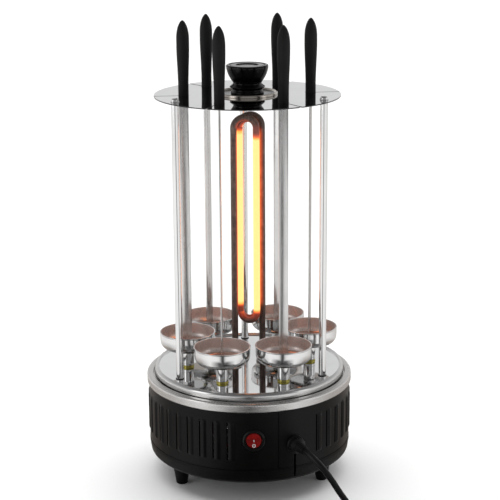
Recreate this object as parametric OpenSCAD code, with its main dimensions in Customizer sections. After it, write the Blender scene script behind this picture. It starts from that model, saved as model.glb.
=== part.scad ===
// Upright electric kebab grill: a round motor base, a bent tube heater and six skewers that
// turn on gear-driven spindles under a mirror-polished top disc.
// Millimetres, +Z up, origin on the resting surface under the centre of the base.
// The front of the grill, with its switch, faces -Y.

/* [Base] */
// Outer radius of the steel collar band, the widest part of the grill
collar_r = 120; // [119:0.5:122]
// Height of the feet below the tray
foot_h = 26; // [22:1:30]
// Height of the bottom tray
tray_h = 17; // [15:1:20]
// Height of the black side wall that shows between tray and collar
wall_h = 69; // [64:1:74]
// Thickness of the wall and tray shells
shell_t = 2; // [1.5:0.5:2.5]
// Radius of the mirror plate's rim
plate_r = 111; // [110:0.5:111.5]
// Thickness of the sheet steel in plate, collar and disc
sheet_t = 1.2; // [1:0.1:1.4]

/* [Louvres] */
// Angle between neighbouring louvres
louvre_pitch = 8.1; // [8.05:0.05:8.15]
// Number of louvres around the sides and the back
louvre_n = 39; // [30:1:39]
// Length of a louvre
louvre_len = 46; // [36:1:46]
// Width of the slit in a louvre
slit_w = 2.2; // [1.6:0.2:2.6]

/* [Spits] */
// Angles of the six turning stations, anticlockwise from +X
station_angles = [7, 61, 131, 187, 245, 303];
// Turn of each skewer blade at rest, measured from the X axis
blade_turns = [78, 35, 50, 4, 86, 3];
// Width of a skewer blade
blade_w = 10.5; // [9.5:0.5:10.5]
// Thickness of a skewer blade
blade_t = 1.5; // [1.2:0.1:1.5]
// Length of a skewer handle
handle_len = 83.5; // [75:0.5:90]
// Largest diameter of a skewer handle
handle_d = 14.4; // [13:0.2:16]
// Outer diameter of a drip cup
cup_d = 64.8; // [60:0.4:65.2]
// Height of a drip cup
cup_h = 21; // [18:1:24]

/* [Frame] */
// Length of a support rod between plate and disc
rod_len = 319; // [300:1:330]
// Diameter of a support rod
rod_d = 8.4; // [7:0.2:9]
// Radius of the circle that rods and feet stand on
rod_ring_r = 94.5; // [94:0.5:95]
// Angle of the first rod; the other two follow every 120 degrees
rod_angle = 93; // [91:1:95]
// Radius of the top disc
disc_r = 105.3; // [104:0.1:108]

/* [Heater] */
// Diameter of the heater tube
tube_d = 8; // [7:0.5:8]
// Distance of the glowing bars from the centre plane
bar_x = 9.5; // [9:0.5:10]
// Distance of the two legs from the centre plane
leg_x = 16; // [15:0.5:17]
// Depth between neighbouring loops
loop_pitch = 9; // [8.5:0.5:10]

/* [Drive] */
// Module of all gears
gear_module = 1.5; // [1.5]
// Teeth on the central ring gear
central_teeth = 72; // [72]
// Teeth on a spindle gear
spindle_teeth = 24; // [24]
// Teeth on the motor pinion
pinion_teeth = 12; // [12]
// Angle at which the motor pinion meets the ring gear
motor_angle = 34; // [33:1:35]

/* [Switch and cord] */
// Angle of the switch from the front, to the right
switch_turn = 2.3; // [0:0.1:4]
// Height of the switch centre
switch_z = 79; // [70:1:85]
// Angle of the cord gland from the front, to the right
gland_turn = 25.6; // [25:0.1:27]
// Height of the cord gland centre
gland_z = 70; // [70]
// Diameter of the mains cord
cord_d = 7; // [6.5:0.5:7]

/* [Hidden] */
$fn = 96;
eps = 0.01;

// Heights of the main levels
tray_z = foot_h;
wall_z = tray_z + tray_h;
collar_z = wall_z + wall_h;
collar_h = 10;
shoulder_z = collar_z + collar_h;
plate_z = shoulder_z + 6.5;
disc_z = plate_z + rod_len;
disc_top = disc_z + sheet_t;
floor_t = 2.5;
chassis_z = 90;
chassis_t = 3;
gear_z = 97;
gear_w = 8;
cup_z = plate_z + 22.5;
bush_top = plate_z + 4.5;

// Radii
wall_r = collar_r - 2;
tray_r = wall_r + 0.3;
pitch_central = gear_module * central_teeth / 2;
pitch_spindle = gear_module * spindle_teeth / 2;
pitch_pinion = gear_module * pinion_teeth / 2;
station_r = pitch_central + pitch_spindle;
motor_r = pitch_central + pitch_pinion;
hub_r = 30;
hub_bore_r = 26;
gear_bore_r = hub_r + 0.06;
stud_r = 3;
stud_hole_r = 3.2;
shaft_r = 4.5;
journal_r = 3;
run_gap = 0.05;
bush_r = 7.3;
stem_r = 7;
spigot_r = 6.2;
pressure_angle = 25;
tooth_backlash = 0.12;

// Places
rod_angles = [for (k = [0:2]) rod_angle + 120 * k];
switch_angle = -90 + switch_turn;
gland_angle = -90 + gland_turn;
seam_angle = -90 + 15.9;
first_louvre = -90 + 40;
louvre_mid_z = wall_z + wall_h / 2 - 0.7;

// ---------------------------------------------------------------- helpers

function polar(r, a) = [r * cos(a), r * sin(a)];

module at_polar(r, a, z = 0) {
    rotate([0, 0, a]) translate([r, 0, z]) children();
}

// Puts its children with +Z pointing radially outwards at radius r, angle a, height z
module on_wall(r, a, z) {
    at_polar(r, a, z) rotate([0, 90, 0]) children();
}

module ring(r_out, r_in, z0, z1) {
    difference() {
        translate([0, 0, z0]) cylinder(r = r_out, h = z1 - z0);
        translate([0, 0, z0 - 1]) cylinder(r = r_in, h = z1 - z0 + 2);
    }
}

// Points of a circular arc from angle a0 to angle a1
function arc(cx, cy, r, a0, a1, n = 8) =
    [for (i = [0:n]) let (a = a0 + (a1 - a0) * i / n) [cx + r * cos(a), cy + r * sin(a)]];

// Round bar between two points
module bar(p, q, r) {
    d = q - p;
    len = norm(d);
    translate(p) rotate([0, acos(d[2] / len), atan2(d[1], d[0])]) cylinder(r = r, h = len, $fn = 24);
}

// Wire through a list of points, with slightly larger ball joints at the bends
module wire(points, r) {
    for (i = [0:len(points) - 2]) bar(points[i], points[i + 1], r);
    for (i = [1:len(points) - 2]) translate(points[i]) sphere(r = r + 0.2, $fn = 24);
}

// ---------------------------------------------------------------- gears

function involute(a) = tan(a) * 180 / PI - a;

// Angle of a tooth flank from the tooth's middle at radius r
function flank_angle(teeth, r) =
    let (pitch = gear_module * teeth / 2, base = pitch * cos(pressure_angle))
    ((PI * gear_module - tooth_backlash) / 4 / pitch) * 180 / PI
        + involute(pressure_angle) - involute(acos(min(1, base / max(r, base))));

function gear_outline(teeth) =
    let (pitch = gear_module * teeth / 2,
         base = pitch * cos(pressure_angle),
         root = pitch - 1.25 * gear_module,
         tip = pitch + 0.85 * gear_module,
         low = max(root, base),
         steps = 4,
         radii = [for (i = [0:steps]) low + (tip - low) * i / steps])
    [for (k = [0:teeth - 1]) let (mid = 360 * k / teeth)
        each concat([polar(root, mid - flank_angle(teeth, low))],
                    [for (r = radii) polar(r, mid - flank_angle(teeth, r))],
                    [for (i = [steps:-1:0]) polar(radii[i], mid + flank_angle(teeth, radii[i]))],
                    [polar(root, mid + flank_angle(teeth, low))])];

module gear(teeth, width, bore_r) {
    difference() {
        linear_extrude(width) polygon(gear_outline(teeth));
        translate([0, 0, -1]) cylinder(r = bore_r, h = width + 2);
    }
}

// Turn that puts a tooth gap of a planet gear at angle a in mesh with the central gear
function mesh_turn(teeth, a) = a + 180 + 180 / teeth + a * central_teeth / teeth;

// ---------------------------------------------------------------- base shells

module base_tray() {
    corner = 6;
    inner = corner - 2.4;
    lip_r = wall_r - shell_t - 0.3;
    profile = concat(
        [[0, tray_z]],
        arc(tray_r - corner - 1, tray_z + corner, corner, -90, -20),
        [[tray_r, wall_z - 4], [tray_r, wall_z - 0.4], [lip_r, wall_z - 0.4], [lip_r, wall_z + 4],
         [lip_r - 1.6, wall_z + 4], [tray_r - 2.6, wall_z - 5]],
        arc(tray_r - corner - 1, tray_z + floor_t + inner, inner, -20, -90),
        [[0, tray_z + floor_t]]);
    vent_n = 24;
    color([0.05, 0.05, 0.05]) difference() {
        rotate_extrude($fn = 180) polygon(profile);
        for (a = rod_angles) at_polar(rod_ring_r, a, tray_z - 1) cylinder(r = stud_hole_r, h = 5);
        for (k = [0:vent_n - 1]) at_polar(48, 360 * k / vent_n, tray_z - 1)
            translate([0, -1.6, 0]) cube([24, 3.2, 6]);
        cord_notch();
    }
}

// Narrow slit under the cord gland, through which the lead is laid into the base
module cord_notch() {
    notch_w = 2.4;
    at_polar(wall_r - 5, gland_angle, tray_z + 5)
        translate([0, -notch_w / 2, 0]) cube([10, notch_w, gland_z - tray_z - 12]);
}

module louvre_slit(a) {
    half = louvre_len / 2 - slit_w;
    z = louvre_mid_z;
    at_polar(wall_r - 5, a, 0) rotate([0, 90, 0]) {
        translate([-z - half, -slit_w / 2, 0]) cube([2 * half, slit_w, 10]);
        for (s = [-1, 1]) translate([-z + s * half, 0, 0]) cylinder(r = slit_w / 2, h = 10, $fn = 24);
    }
}

// Raised fin beside each slit, with ball ends
module louvre_fin(a) {
    fin_r = 3;
    proud = 1.4;
    half = louvre_len / 2 - fin_r;
    z = louvre_mid_z;
    at_polar(wall_r - fin_r + proud, a, z) {
        translate([0, 0, -half]) cylinder(r = fin_r, h = 2 * half, $fn = 24);
        for (s = [-1, 1]) translate([0, 0, s * half]) sphere(r = fin_r, $fn = 24);
    }
}

module side_wall() {
    top = shoulder_z - 2.5;
    fin_offset = 2.35;
    color([0.06, 0.06, 0.06]) difference() {
        union() {
            ring(wall_r, wall_r - shell_t, wall_z, top, $fn = 180);
            difference() {
                for (k = [0:louvre_n - 1]) louvre_fin(first_louvre + louvre_pitch * k + fin_offset);
                translate([0, 0, wall_z]) cylinder(r = wall_r - shell_t / 2, h = wall_h, $fn = 180);
            }
        }
        for (k = [0:louvre_n - 1]) louvre_slit(first_louvre + louvre_pitch * k);
        on_wall(wall_r - 6, switch_angle, switch_z) cylinder(r = switch_hole_r, h = 12);
        on_wall(wall_r - 6, gland_angle, gland_z) cylinder(r = gland_hole_r, h = 12);
        at_polar(wall_r - 0.7, seam_angle, wall_z - 1) translate([0, -0.4, 0]) cube([4, 0.8, wall_h + 12]);
        cord_notch();
    }
}

module collar_band() {
    t = sheet_t + 0.3;
    lip_r = plate_r + 1.6;
    ledge_r = 105;
    ledge_z = shoulder_z - 5;
    edge = 2.5;
    profile = concat(
        [[collar_r - t, collar_z], [collar_r, collar_z]],
        arc(collar_r - edge, shoulder_z - edge, edge, 0, 90),
        [[lip_r, shoulder_z], [lip_r, ledge_z + t], [ledge_r, ledge_z + t], [ledge_r, ledge_z],
         [lip_r + t, ledge_z], [lip_r + t, shoulder_z - t], [collar_r - t, shoulder_z - t]]);
    color([0.72, 0.72, 0.72]) rotate_extrude($fn = 180) polygon(profile);
}

module top_plate() {
    t = sheet_t;
    foot = shoulder_z - 3.5;
    crest = plate_r - 5;
    crest_z = plate_z + 2;
    outside = concat([[plate_r, foot]], arc(crest + 0.5, crest_z - 4.5, 4.5, 0, 110),
                     [[crest - 4, plate_z + 0.5], [crest - 5, plate_z], [0, plate_z]]);
    inside = concat([[0, plate_z - t], [crest - 4.7, plate_z - t], [crest - 3.6, plate_z - t + 0.6]],
                    arc(crest + 0.5, crest_z - 4.5, 4.5 - t, 110, 0), [[plate_r - t, foot]]);
    color([0.9, 0.9, 0.9]) difference() {
        rotate_extrude($fn = 180) polygon(concat(outside, inside));
        for (a = station_angles) at_polar(station_r, a, plate_z - 5) cylinder(r = bush_r, h = 10);
        for (a = rod_angles) at_polar(rod_ring_r, a, plate_z - 5) cylinder(r = stud_hole_r, h = 10);
        for (s = [-1, 1]) translate([s * leg_x, s * loop_pitch, plate_z - 5])
            cylinder(r = tube_d / 2 + 2, h = 10);
    }
}

module feet() {
    foot_top_r = 10.5;
    foot_tip_r = 6.6;
    socket_r = 6.2;
    socket_h = 9;
    color([0.04, 0.04, 0.04]) for (a = rod_angles) at_polar(rod_ring_r, a) difference() {
        rotate_extrude() polygon(concat([[0, 0]], arc(foot_tip_r - 1, 1, 1, -90, 0, 4),
            [[foot_top_r - 0.6, tray_z - 5], [foot_top_r, tray_z - 4], [foot_top_r, tray_z], [0, tray_z]]));
        translate([0, 0, tray_z - socket_h]) cylinder(r = socket_r, h = 20);
    }
}

// ---------------------------------------------------------------- frame

module support_rods() {
    color([0.88, 0.88, 0.88]) for (a = rod_angles) at_polar(rod_ring_r, a) {
        translate([0, 0, plate_z]) cylinder(r = rod_d / 2, h = rod_len);
        translate([0, 0, tray_z - 6]) cylinder(r = stud_r, h = plate_z - tray_z + 6 + eps);
        translate([0, 0, disc_z - eps]) cylinder(r = 2, h = 4);
    }
}

module rod_rings() {
    color([0.15, 0.15, 0.15]) for (a = rod_angles) at_polar(rod_ring_r, a, plate_z)
        ring(rod_d / 2 + 0.9, rod_d / 2, 0, 1.4);
}

module dome_nuts() {
    nut_r = 4.6;
    nut_h = 4.6;
    profile = concat([[2, 0], [nut_r - 0.4, 0], [nut_r, 0.4]],
                     [for (i = [0:8]) [nut_r * cos(10 * i), 1.6 + (nut_h - 1.6) * sin(10 * i)]],
                     [[0, nut_h], [0, 4 - sheet_t], [2, 4 - sheet_t]]);
    color([0.85, 0.85, 0.85]) for (a = rod_angles) at_polar(rod_ring_r, a, disc_top)
        rotate_extrude($fn = 48) polygon(profile);
}

// Hexagon nuts on the rods' lower studs, under the chassis and under the tray
module tie_nuts() {
    nut_r = 5.6;
    nut_h = 4.5;
    color([0.75, 0.75, 0.7]) for (a = rod_angles, z = [tray_z - nut_h, chassis_z - nut_h])
        at_polar(rod_ring_r, a, z) difference() {
            cylinder(r = nut_r, h = nut_h, $fn = 6);
            translate([0, 0, -1]) cylinder(r = stud_r, h = nut_h + 2, $fn = 48);
        }
}

module top_disc() {
    hole_r = 6.3;
    slot_w = 2.1;
    mouth_w = 5;
    mouth_len = 3;
    color([0.92, 0.92, 0.92]) difference() {
        translate([0, 0, disc_z]) cylinder(r = disc_r, h = sheet_t, $fn = 180);
        for (a = station_angles) rotate([0, 0, a]) {
            translate([station_r, 0, disc_z - 1]) cylinder(r = hole_r, h = 4, $fn = 48);
            translate([station_r, -slot_w / 2, disc_z - 1]) cube([disc_r - station_r + 5, slot_w, 4]);
            translate([0, 0, disc_z - 1]) linear_extrude(4) polygon(
                [[disc_r - mouth_len, -slot_w / 2], [disc_r + 2, -mouth_w / 2],
                 [disc_r + 2, mouth_w / 2], [disc_r - mouth_len, slot_w / 2]]);
        }
        for (a = rod_angles) at_polar(rod_ring_r, a, disc_z - 1) cylinder(r = 2, h = 4, $fn = 48);
        translate([0, 0, disc_z - 1]) cylinder(r = knob_stud_r, h = 4, $fn = 48);
    }
}

knob_stud_r = 3;
skirt_r = 34;
skirt_h = 3.2;

// Steel dish under the knob, with a turned-up rim
module knob_skirt() {
    t = 1;
    profile = concat(
        [[knob_stud_r, 0], [skirt_r - 4, 0]],
        arc(skirt_r - 1.6, skirt_h / 2, skirt_h / 2, -90, 90),
        [[skirt_r - 4, skirt_h - 0.6], [skirt_r - 5, t], [knob_stud_r, t]]);
    color([0.7, 0.68, 0.65]) translate([0, 0, disc_top]) rotate_extrude() polygon(profile);
}

module knob() {
    z0 = disc_top + 1;
    profile = concat(
        [[0, 0], [18.5, 0], [18.7, 1.6], [16.4, 5.4], [19.9, 7.4], [19.9, 8.2], [16, 11.2]],
        [for (i = [0:7]) let (s = i / 7) [16.2 + 7.6 * pow(s, 0.62), 12.6 + 18.4 * s]],
        arc(22.6, 31.2, 1.2, 0, 90, 5),
        [[20.4, 32.4], [19.6, 31.4], [0, 31.4]]);
    color([0.03, 0.03, 0.03]) union() {
        translate([0, 0, z0]) rotate_extrude() polygon(profile);
        translate([0, 0, disc_z - 5]) cylinder(r = knob_stud_r, h = z0 - disc_z + 5 + eps, $fn = 48);
    }
}

// ---------------------------------------------------------------- heater

arch_z = plate_z + 282.5;
bend_z = plate_z + 65.5;
leg_end_z = chassis_z + 14;

// Half ring of tube in an upright plane from point p to point q; up = 1 arches, -1 hangs
module tube_bend(p, q, z, up) {
    d = q - p;
    mid = (p + q) / 2;
    translate([mid[0], mid[1], z]) rotate([0, 0, atan2(d[1], d[0])]) rotate([up > 0 ? 90 : -90, 0, 0])
        rotate_extrude(angle = 180) translate([norm(d) / 2, 0]) circle(r = tube_d / 2, $fn = 32);
}

module tube_leg(p, z0, z1) {
    translate([p[0], p[1], z0]) cylinder(r = tube_d / 2, h = z1 - z0, $fn = 32);
}

// Straight bar from a slanted lower bend up to an arch; a thin bead closes the joint with the bend
module tube_bar(p) {
    bead = 0.1;
    tube_leg(p, bend_z + 2 * bead, arch_z);
    translate([p[0], p[1], bend_z]) sphere(r = tube_d / 2 + bead, $fn = 32);
}

module heating_element() {
    front = -loop_pitch;
    back = loop_pitch;
    leg_l = [-leg_x, front];
    bar_a = [bar_x, front];
    bar_b = [-bar_x, 0];
    bar_c = [bar_x, 0];
    bar_d = [-bar_x, back];
    leg_r = [leg_x, back];
    pin_r = 1.5;
    color([0.32, 0.24, 0.2]) union() {
        tube_leg(leg_l, leg_end_z, arch_z);
        tube_leg(leg_r, leg_end_z, arch_z);
        for (p = [bar_a, bar_b, bar_c, bar_d]) tube_bar(p);
        tube_bend(leg_l, bar_a, arch_z, 1);
        tube_bend(bar_b, bar_c, arch_z, 1);
        tube_bend(bar_d, leg_r, arch_z, 1);
        tube_bend(bar_b, bar_a, bend_z, -1);
        tube_bend(bar_d, bar_c, bend_z, -1);
        for (p = [leg_l, leg_r]) translate([p[0], p[1], leg_end_z - 12])
            cylinder(r = pin_r, h = 12 + eps, $fn = 32);
    }
}

module heater_bushes() {
    color([0.6, 0.55, 0.5]) for (s = [-1, 1])
        translate([s * leg_x, s * loop_pitch, 0]) {
            ring(tube_d / 2 + 3.4, tube_d / 2 + 0.05, plate_z, plate_z + 1.8);
            ring(tube_d / 2 + 1.9, tube_d / 2 + 0.05, plate_z - 8, plate_z + eps);
        }
}

// ---------------------------------------------------------------- drive

module gear_chassis() {
    boss_r = 7;
    pillar_r = 7;
    hub_h = gear_z + gear_w + 3 - chassis_z;
    color([0.62, 0.62, 0.58]) difference() {
        union() {
            translate([0, 0, chassis_z]) cylinder(r = 103, h = chassis_t);
            translate([0, 0, chassis_z]) cylinder(r = hub_r, h = hub_h);
            translate([0, 0, chassis_z]) cylinder(r = hub_r + 4, h = gear_z - chassis_z - 0.1);
            for (a = station_angles) at_polar(station_r, a, chassis_z - 4)
                cylinder(r = boss_r, h = gear_z - chassis_z + 3.9);
            for (a = rod_angles) at_polar(rod_ring_r, a, chassis_z)
                cylinder(r = pillar_r, h = plate_z - sheet_t - chassis_z);
        }
        translate([0, 0, chassis_z - 1]) cylinder(r = hub_bore_r, h = hub_h + 2);
        for (a = station_angles) at_polar(station_r, a, chassis_z - 5)
            cylinder(r = journal_r + run_gap, h = 20, $fn = 48);
        for (a = rod_angles) at_polar(rod_ring_r, a, chassis_z - 1)
            cylinder(r = stud_hole_r, h = 60, $fn = 48);
        at_polar(motor_r, motor_angle, chassis_z - 1) cylinder(r = 6, h = 10, $fn = 48);
        at_motor_ears(chassis_z - 1) cylinder(r = 1.6, h = 10, $fn = 32);
    }
}

module central_gear() {
    color([0.93, 0.92, 0.86]) translate([0, 0, gear_z]) gear(central_teeth, gear_w, gear_bore_r);
}

module motor_pinion() {
    color([0.8, 0.68, 0.35]) at_polar(motor_r, motor_angle, gear_z)
        rotate([0, 0, mesh_turn(pinion_teeth, motor_angle) - motor_angle])
            gear(pinion_teeth, gear_w, motor_shaft_r);
}

motor_shaft_r = 3;
ear_hole_r = 29.5;
ear_turn = 45;

// Puts its children at both fixing holes of the motor, with +X pointing away from its axis
module at_motor_ears(z) {
    for (s = [0, 1]) at_polar(motor_r, motor_angle) rotate([0, 0, ear_turn + 180 * s])
        translate([ear_hole_r, 0, z]) children();
}

module drive_motor() {
    can_r = 25;
    can_h = 18;
    ear_t = 1.2;
    top = chassis_z - 0.3;
    color([0.78, 0.78, 0.78]) difference() {
        union() {
            at_polar(motor_r, motor_angle) {
                translate([0, 0, top - can_h]) cylinder(r = can_r, h = can_h);
                translate([0, 0, top - 1]) cylinder(r = 5, h = chassis_t + 3);
                translate([0, 0, top]) cylinder(r = motor_shaft_r - run_gap, h = gear_z + gear_w + 1 - top);
            }
            at_motor_ears(top - ear_t) translate([-8, -5, 0]) cube([13, 10, ear_t]);
        }
        at_motor_ears(top - 5) cylinder(r = 1.6, h = 10, $fn = 32);
    }
}

module fixing_screws() {
    screw_r = 1.5;
    head_r = 3;
    color([0.8, 0.8, 0.78]) {
        at_motor_ears(chassis_z) {
            translate([0, 0, -3.7]) cylinder(r = head_r, h = 2.2, $fn = 32);
            translate([0, 0, -2]) cylinder(r = screw_r, h = 6, $fn = 32);
        }
        for (s = [-1, 1]) translate([block_x + s * 13, block_y, tray_z + floor_t]) {
            cylinder(r = screw_r, h = 17, $fn = 32);
            translate([0, 0, 14.1]) cylinder(r = head_r, h = 2.2, $fn = 32);
        }
    }
}

module spindle_bushes() {
    color([0.78, 0.62, 0.25]) for (a = station_angles) at_polar(station_r, a) difference() {
        union() {
            translate([0, 0, plate_z - sheet_t - 4]) cylinder(r = 10, h = 4);
            translate([0, 0, plate_z - sheet_t - eps]) cylinder(r = bush_r - 0.05, h = 5 + eps);
            translate([0, 0, plate_z]) cylinder(r = bush_r - 0.4, h = bush_top - plate_z);
            translate([0, 0, plate_z + 1.3]) cylinder(r = bush_r + 0.4, h = 1.5);
        }
        translate([0, 0, plate_z - 20]) cylinder(r = shaft_r + run_gap, h = 40, $fn = 64);
    }
}

module spindle(k) {
    a = station_angles[k];
    socket_depth = 16;
    color([0.86, 0.86, 0.86]) at_polar(station_r, a) difference() {
        union() {
            translate([0, 0, chassis_z - 3.5]) cylinder(r = journal_r, h = gear_z - chassis_z + 3.5 + eps);
            translate([0, 0, gear_z]) cylinder(r = shaft_r, h = bush_top + 0.2 - gear_z + eps);
            translate([0, 0, bush_top + 0.2]) cylinder(r = stem_r, h = cup_z - bush_top - 0.2);
            translate([0, 0, cup_z - eps]) cylinder(r = spigot_r, h = 3);
        }
        rotate([0, 0, blade_turns[k] - a])
            translate([-blade_w / 2 - 0.2, -blade_t / 2 - 0.2, cup_z + 3 - socket_depth])
                cube([blade_w + 0.4, blade_t + 0.4, socket_depth + 1]);
    }
}

module spindle_gear(k) {
    a = station_angles[k];
    color([0.93, 0.92, 0.86]) at_polar(station_r, a, gear_z)
        rotate([0, 0, mesh_turn(spindle_teeth, a) - a]) gear(spindle_teeth, gear_w, shaft_r);
}

module drip_cup(k) {
    r = cup_d / 2;
    t = 1;
    corner = 10;
    profile = concat(
        [[spigot_r, 0]],
        arc(r - corner, corner, corner, -90, 0),
        arc(r - t / 2, cup_h - t / 2, t / 2, 0, 180, 6),
        arc(r - corner, corner, corner - t, 0, -90),
        [[spigot_r, t]]);
    color([0.84, 0.84, 0.84]) at_polar(station_r, station_angles[k], cup_z)
        rotate_extrude() polygon(profile);
}

// ---------------------------------------------------------------- skewers

blade_tip_z = cup_z + 3 - 15;
blade_point = 12;
tang_w = 6;
tang_len = 55;
handle_z = disc_top + 0.6;

module skewer_blade(k) {
    w = blade_w / 2;
    outline = [[0, blade_tip_z], [w, blade_tip_z + blade_point], [w, handle_z], [tang_w / 2, handle_z],
               [tang_w / 2, handle_z + tang_len], [-tang_w / 2, handle_z + tang_len],
               [-tang_w / 2, handle_z], [-w, handle_z], [-w, blade_tip_z + blade_point]];
    color([0.8, 0.8, 0.8]) translate(concat(polar(station_r, station_angles[k]), [0]))
        rotate([90, 0, blade_turns[k]]) linear_extrude(blade_t, center = true) polygon(outline);
}

// Radius of the handle at share s of its length: slim below, full near the top, bullet tip
function handle_radius(s) =
    let (full = handle_d / 2, slim = full - 1.3, grow = min(1, max(0, (s - 0.12) / 0.55)),
         body = slim + (full - slim) * grow * grow * (3 - 2 * grow), nose = max(0, (s - 0.74) / 0.26))
    body * pow(1 - pow(nose, 2.2), 0.62);

module skewer_handle(k) {
    n = 30;
    profile = concat([[0, 0]], [for (i = [0:n - 1]) [handle_radius(i / n), handle_len * i / n]],
                     [[handle_radius(0.99), handle_len * 0.99], [0, handle_len]]);
    color([0.05, 0.05, 0.055]) translate(concat(polar(station_r, station_angles[k]), [handle_z]))
        rotate([0, 0, blade_turns[k]]) difference() {
            rotate_extrude($fn = 48) polygon(profile);
            translate([-tang_w / 2, -blade_t / 2, -1]) cube([tang_w, blade_t, tang_len + 1]);
        }
}

// ---------------------------------------------------------------- electrics

switch_hole_r = 10.1;
gland_hole_r = 8.1;
block_x = -38;
block_y = -14;
rocker_r = 8.4;
rocker_half = 4;
rocker_tilt = 9;
rocker_pin_r = 1.2;
rocker_axis_r = collar_r - 3.2;

module thermal_cutout() {
    color([0.7, 0.7, 0.68]) translate([0, -40, plate_z - sheet_t]) {
        translate([0, 0, -1.2]) cylinder(r = 9, h = 1.2);
        translate([0, 0, -8]) cylinder(r = 7.5, h = 7);
        for (s = [-1, 1]) translate([s * 3.5 - 0.4, -2.5, -14]) cube([0.8, 5, 6 + eps]);
    }
}

module terminal_block() {
    color([0.93, 0.92, 0.88]) difference() {
        translate([block_x - 18, block_y - 8, tray_z + floor_t]) cube([36, 16, 14]);
        for (s = [-1, 1]) translate([block_x + s * 13, block_y, 0]) cylinder(r = 1.6, h = 60, $fn = 32);
        for (s = [-1, 0, 1]) translate([block_x + s * 6, block_y - 10, tray_z + 9.5])
            rotate([-90, 0, 0]) cylinder(r = 2, h = 20, $fn = 24);
    }
}

// Internal leads: heater pins, cutout, switch, motor and mains lead to the terminal block
module wiring() {
    r = 1.2;
    low_z = tray_z + 9.5;
    pin_z = leg_end_z - 12.2;
    y_in = block_y - 8.4;
    y_out = block_y + 8.4;
    switch_in = polar(rocker_axis_r - 28, switch_angle);
    gland_in = polar(wall_r - 14, gland_angle);
    motor_in = polar(motor_r - 27, motor_angle);
    color([0.75, 0.2, 0.15]) {
        wire([[-leg_x, -loop_pitch, pin_z], [-leg_x, -loop_pitch, 60], [block_x, 6, 50],
              [block_x, y_out + 8, low_z], [block_x, y_out, low_z]], r);
        wire([[leg_x, loop_pitch, pin_z], [leg_x, loop_pitch, 64], [block_x + 6, 20, 56],
              [block_x + 6, y_out + 9, low_z], [block_x + 6, y_out, low_z]], r);
        wire([[switch_in[0] - 4, switch_in[1], switch_z], [switch_in[0] - 8, switch_in[1] + 14, 60],
              [block_x + 6, y_in - 9, low_z], [block_x + 6, y_in, low_z]], r);
        wire([[gland_in[0], gland_in[1], gland_z], [gland_in[0] - 12, gland_in[1] + 18, 46],
              [block_x, y_in - 16, low_z], [block_x, y_in, low_z]], r);
        wire([[motor_in[0], motor_in[1], chassis_z - 10], [motor_in[0] - 12, motor_in[1] - 4, 60],
              [block_x - 6, 30, 46], [block_x - 6, y_out + 8, low_z], [block_x - 6, y_out, low_z]], r);
    }
}

module switch_body() {
    bezel_r = 12.6;
    bezel_t = 2.2;
    cavity_r = rocker_r + 1.2;
    depth = 24;
    color([0.05, 0.05, 0.05]) difference() {
        union() {
            on_wall(wall_r, switch_angle, switch_z) rotate_extrude() polygon(
                [[0, 0], [bezel_r, 0], [bezel_r, 0.8], [bezel_r - 1, bezel_t], [0, bezel_t]]);
            on_wall(wall_r - depth, switch_angle, switch_z) cylinder(r = switch_hole_r - 0.2, h = depth + eps);
            for (s = [-1, 1]) on_wall(wall_r - depth - 6, switch_angle, switch_z)
                translate([s * 4 - 0.4, -2.4, 0]) cube([0.8, 4.8, 7]);
        }
        on_wall(rocker_axis_r, switch_angle, switch_z) {
            translate([0, 0, -7]) cylinder(r = rocker_r + 0.9, h = 20);
            rotate([90, 0, 0]) translate([0, 0, -rocker_r - 1.4])
                cylinder(r = rocker_pin_r + run_gap, h = 2 * rocker_r + 2.8, $fn = 32);
        }
    }
}

// Round rocker with a shallow V face, modelled with its upper half pressed in
module rocker() {
    dip = 6;
    color([0.75, 0.06, 0.05]) on_wall(rocker_axis_r, switch_angle, switch_z) rotate([0, -rocker_tilt, 0]) {
        difference() {
            intersection() {
                translate([0, 0, -rocker_half]) cylinder(r = rocker_r, h = 2 * rocker_half + 1);
                sphere(r = 9.2);
            }
            for (s = [-1, 1]) translate([0, 0, rocker_half - 0.6]) rotate([0, -s * dip, 0])
                translate([s > 0 ? 0 : -20, -12, 0]) cube([20, 24, 10]);
        }
        rotate([90, 0, 0]) translate([0, 0, -rocker_r - 0.9])
            cylinder(r = rocker_pin_r, h = 2 * rocker_r + 1.8, $fn = 32);
    }
}

// Flange, ribbed clamp nut and tapered strain relief, bored for the cord
module cord_gland() {
    bore_r = cord_d / 2 + 0.1;
    profile = concat(
        [[bore_r, -10], [gland_hole_r - 0.1, -10], [gland_hole_r - 0.1, 0], [10.4, 0], [10.4, 1.6],
         [9.6, 2.4], [9.6, 6.4]],
        arc(8, 6.8, 1.6, 0, 60, 4),
        [[6.6, 9.2], [6.2, 10.5], [4.9, 24], [bore_r, 24.4]]);
    color([0.05, 0.05, 0.05]) on_wall(wall_r, gland_angle, gland_z) rotate_extrude() polygon(profile);
}

// ---------------------------------------------------------------- mains cord

gland_mouth = concat(polar(wall_r - 8, gland_angle), [gland_z]);
gland_nose = concat(polar(wall_r + 24, gland_angle), [gland_z]);

// Middle line of the lead from the gland to the coil; it rests on the floor at z = cord_d / 2
lead_route = concat([gland_mouth, (gland_mouth + gland_nose) / 2, gland_nose],
    [[66, -136, 69.2], [71.5, -142.5, 66], [78.5, -148, 60], [85.5, -152, 52], [92, -154.5, 43],
     [98, -156.5, 33.8], [104.2, -158, 25], [110.5, -159.5, 16.8], [117.8, -161, 10], [127, -163, 5.6],
     [137.5, -167, 3.8], [147.5, -174, 3.5], [154.2, -184, 3.5], [157.6, -196, 3.5], [158.7, -208, 3.6],
     [158.8, -219, 4.2], [158.5, -230, 4.9]]);

// Middle line of the short end from the coil to the plug
tail_route = [[104, -272.6, 12.5], [94, -273.2, 13.6], [83, -274.2, 15.3], [72, -275, 17.2],
              [62, -275, 18.3], [54, -275, 18.5]];

coil_centre = [116, -230];
coil_mid_r = 39;
coil_floor = 1.5;

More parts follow.
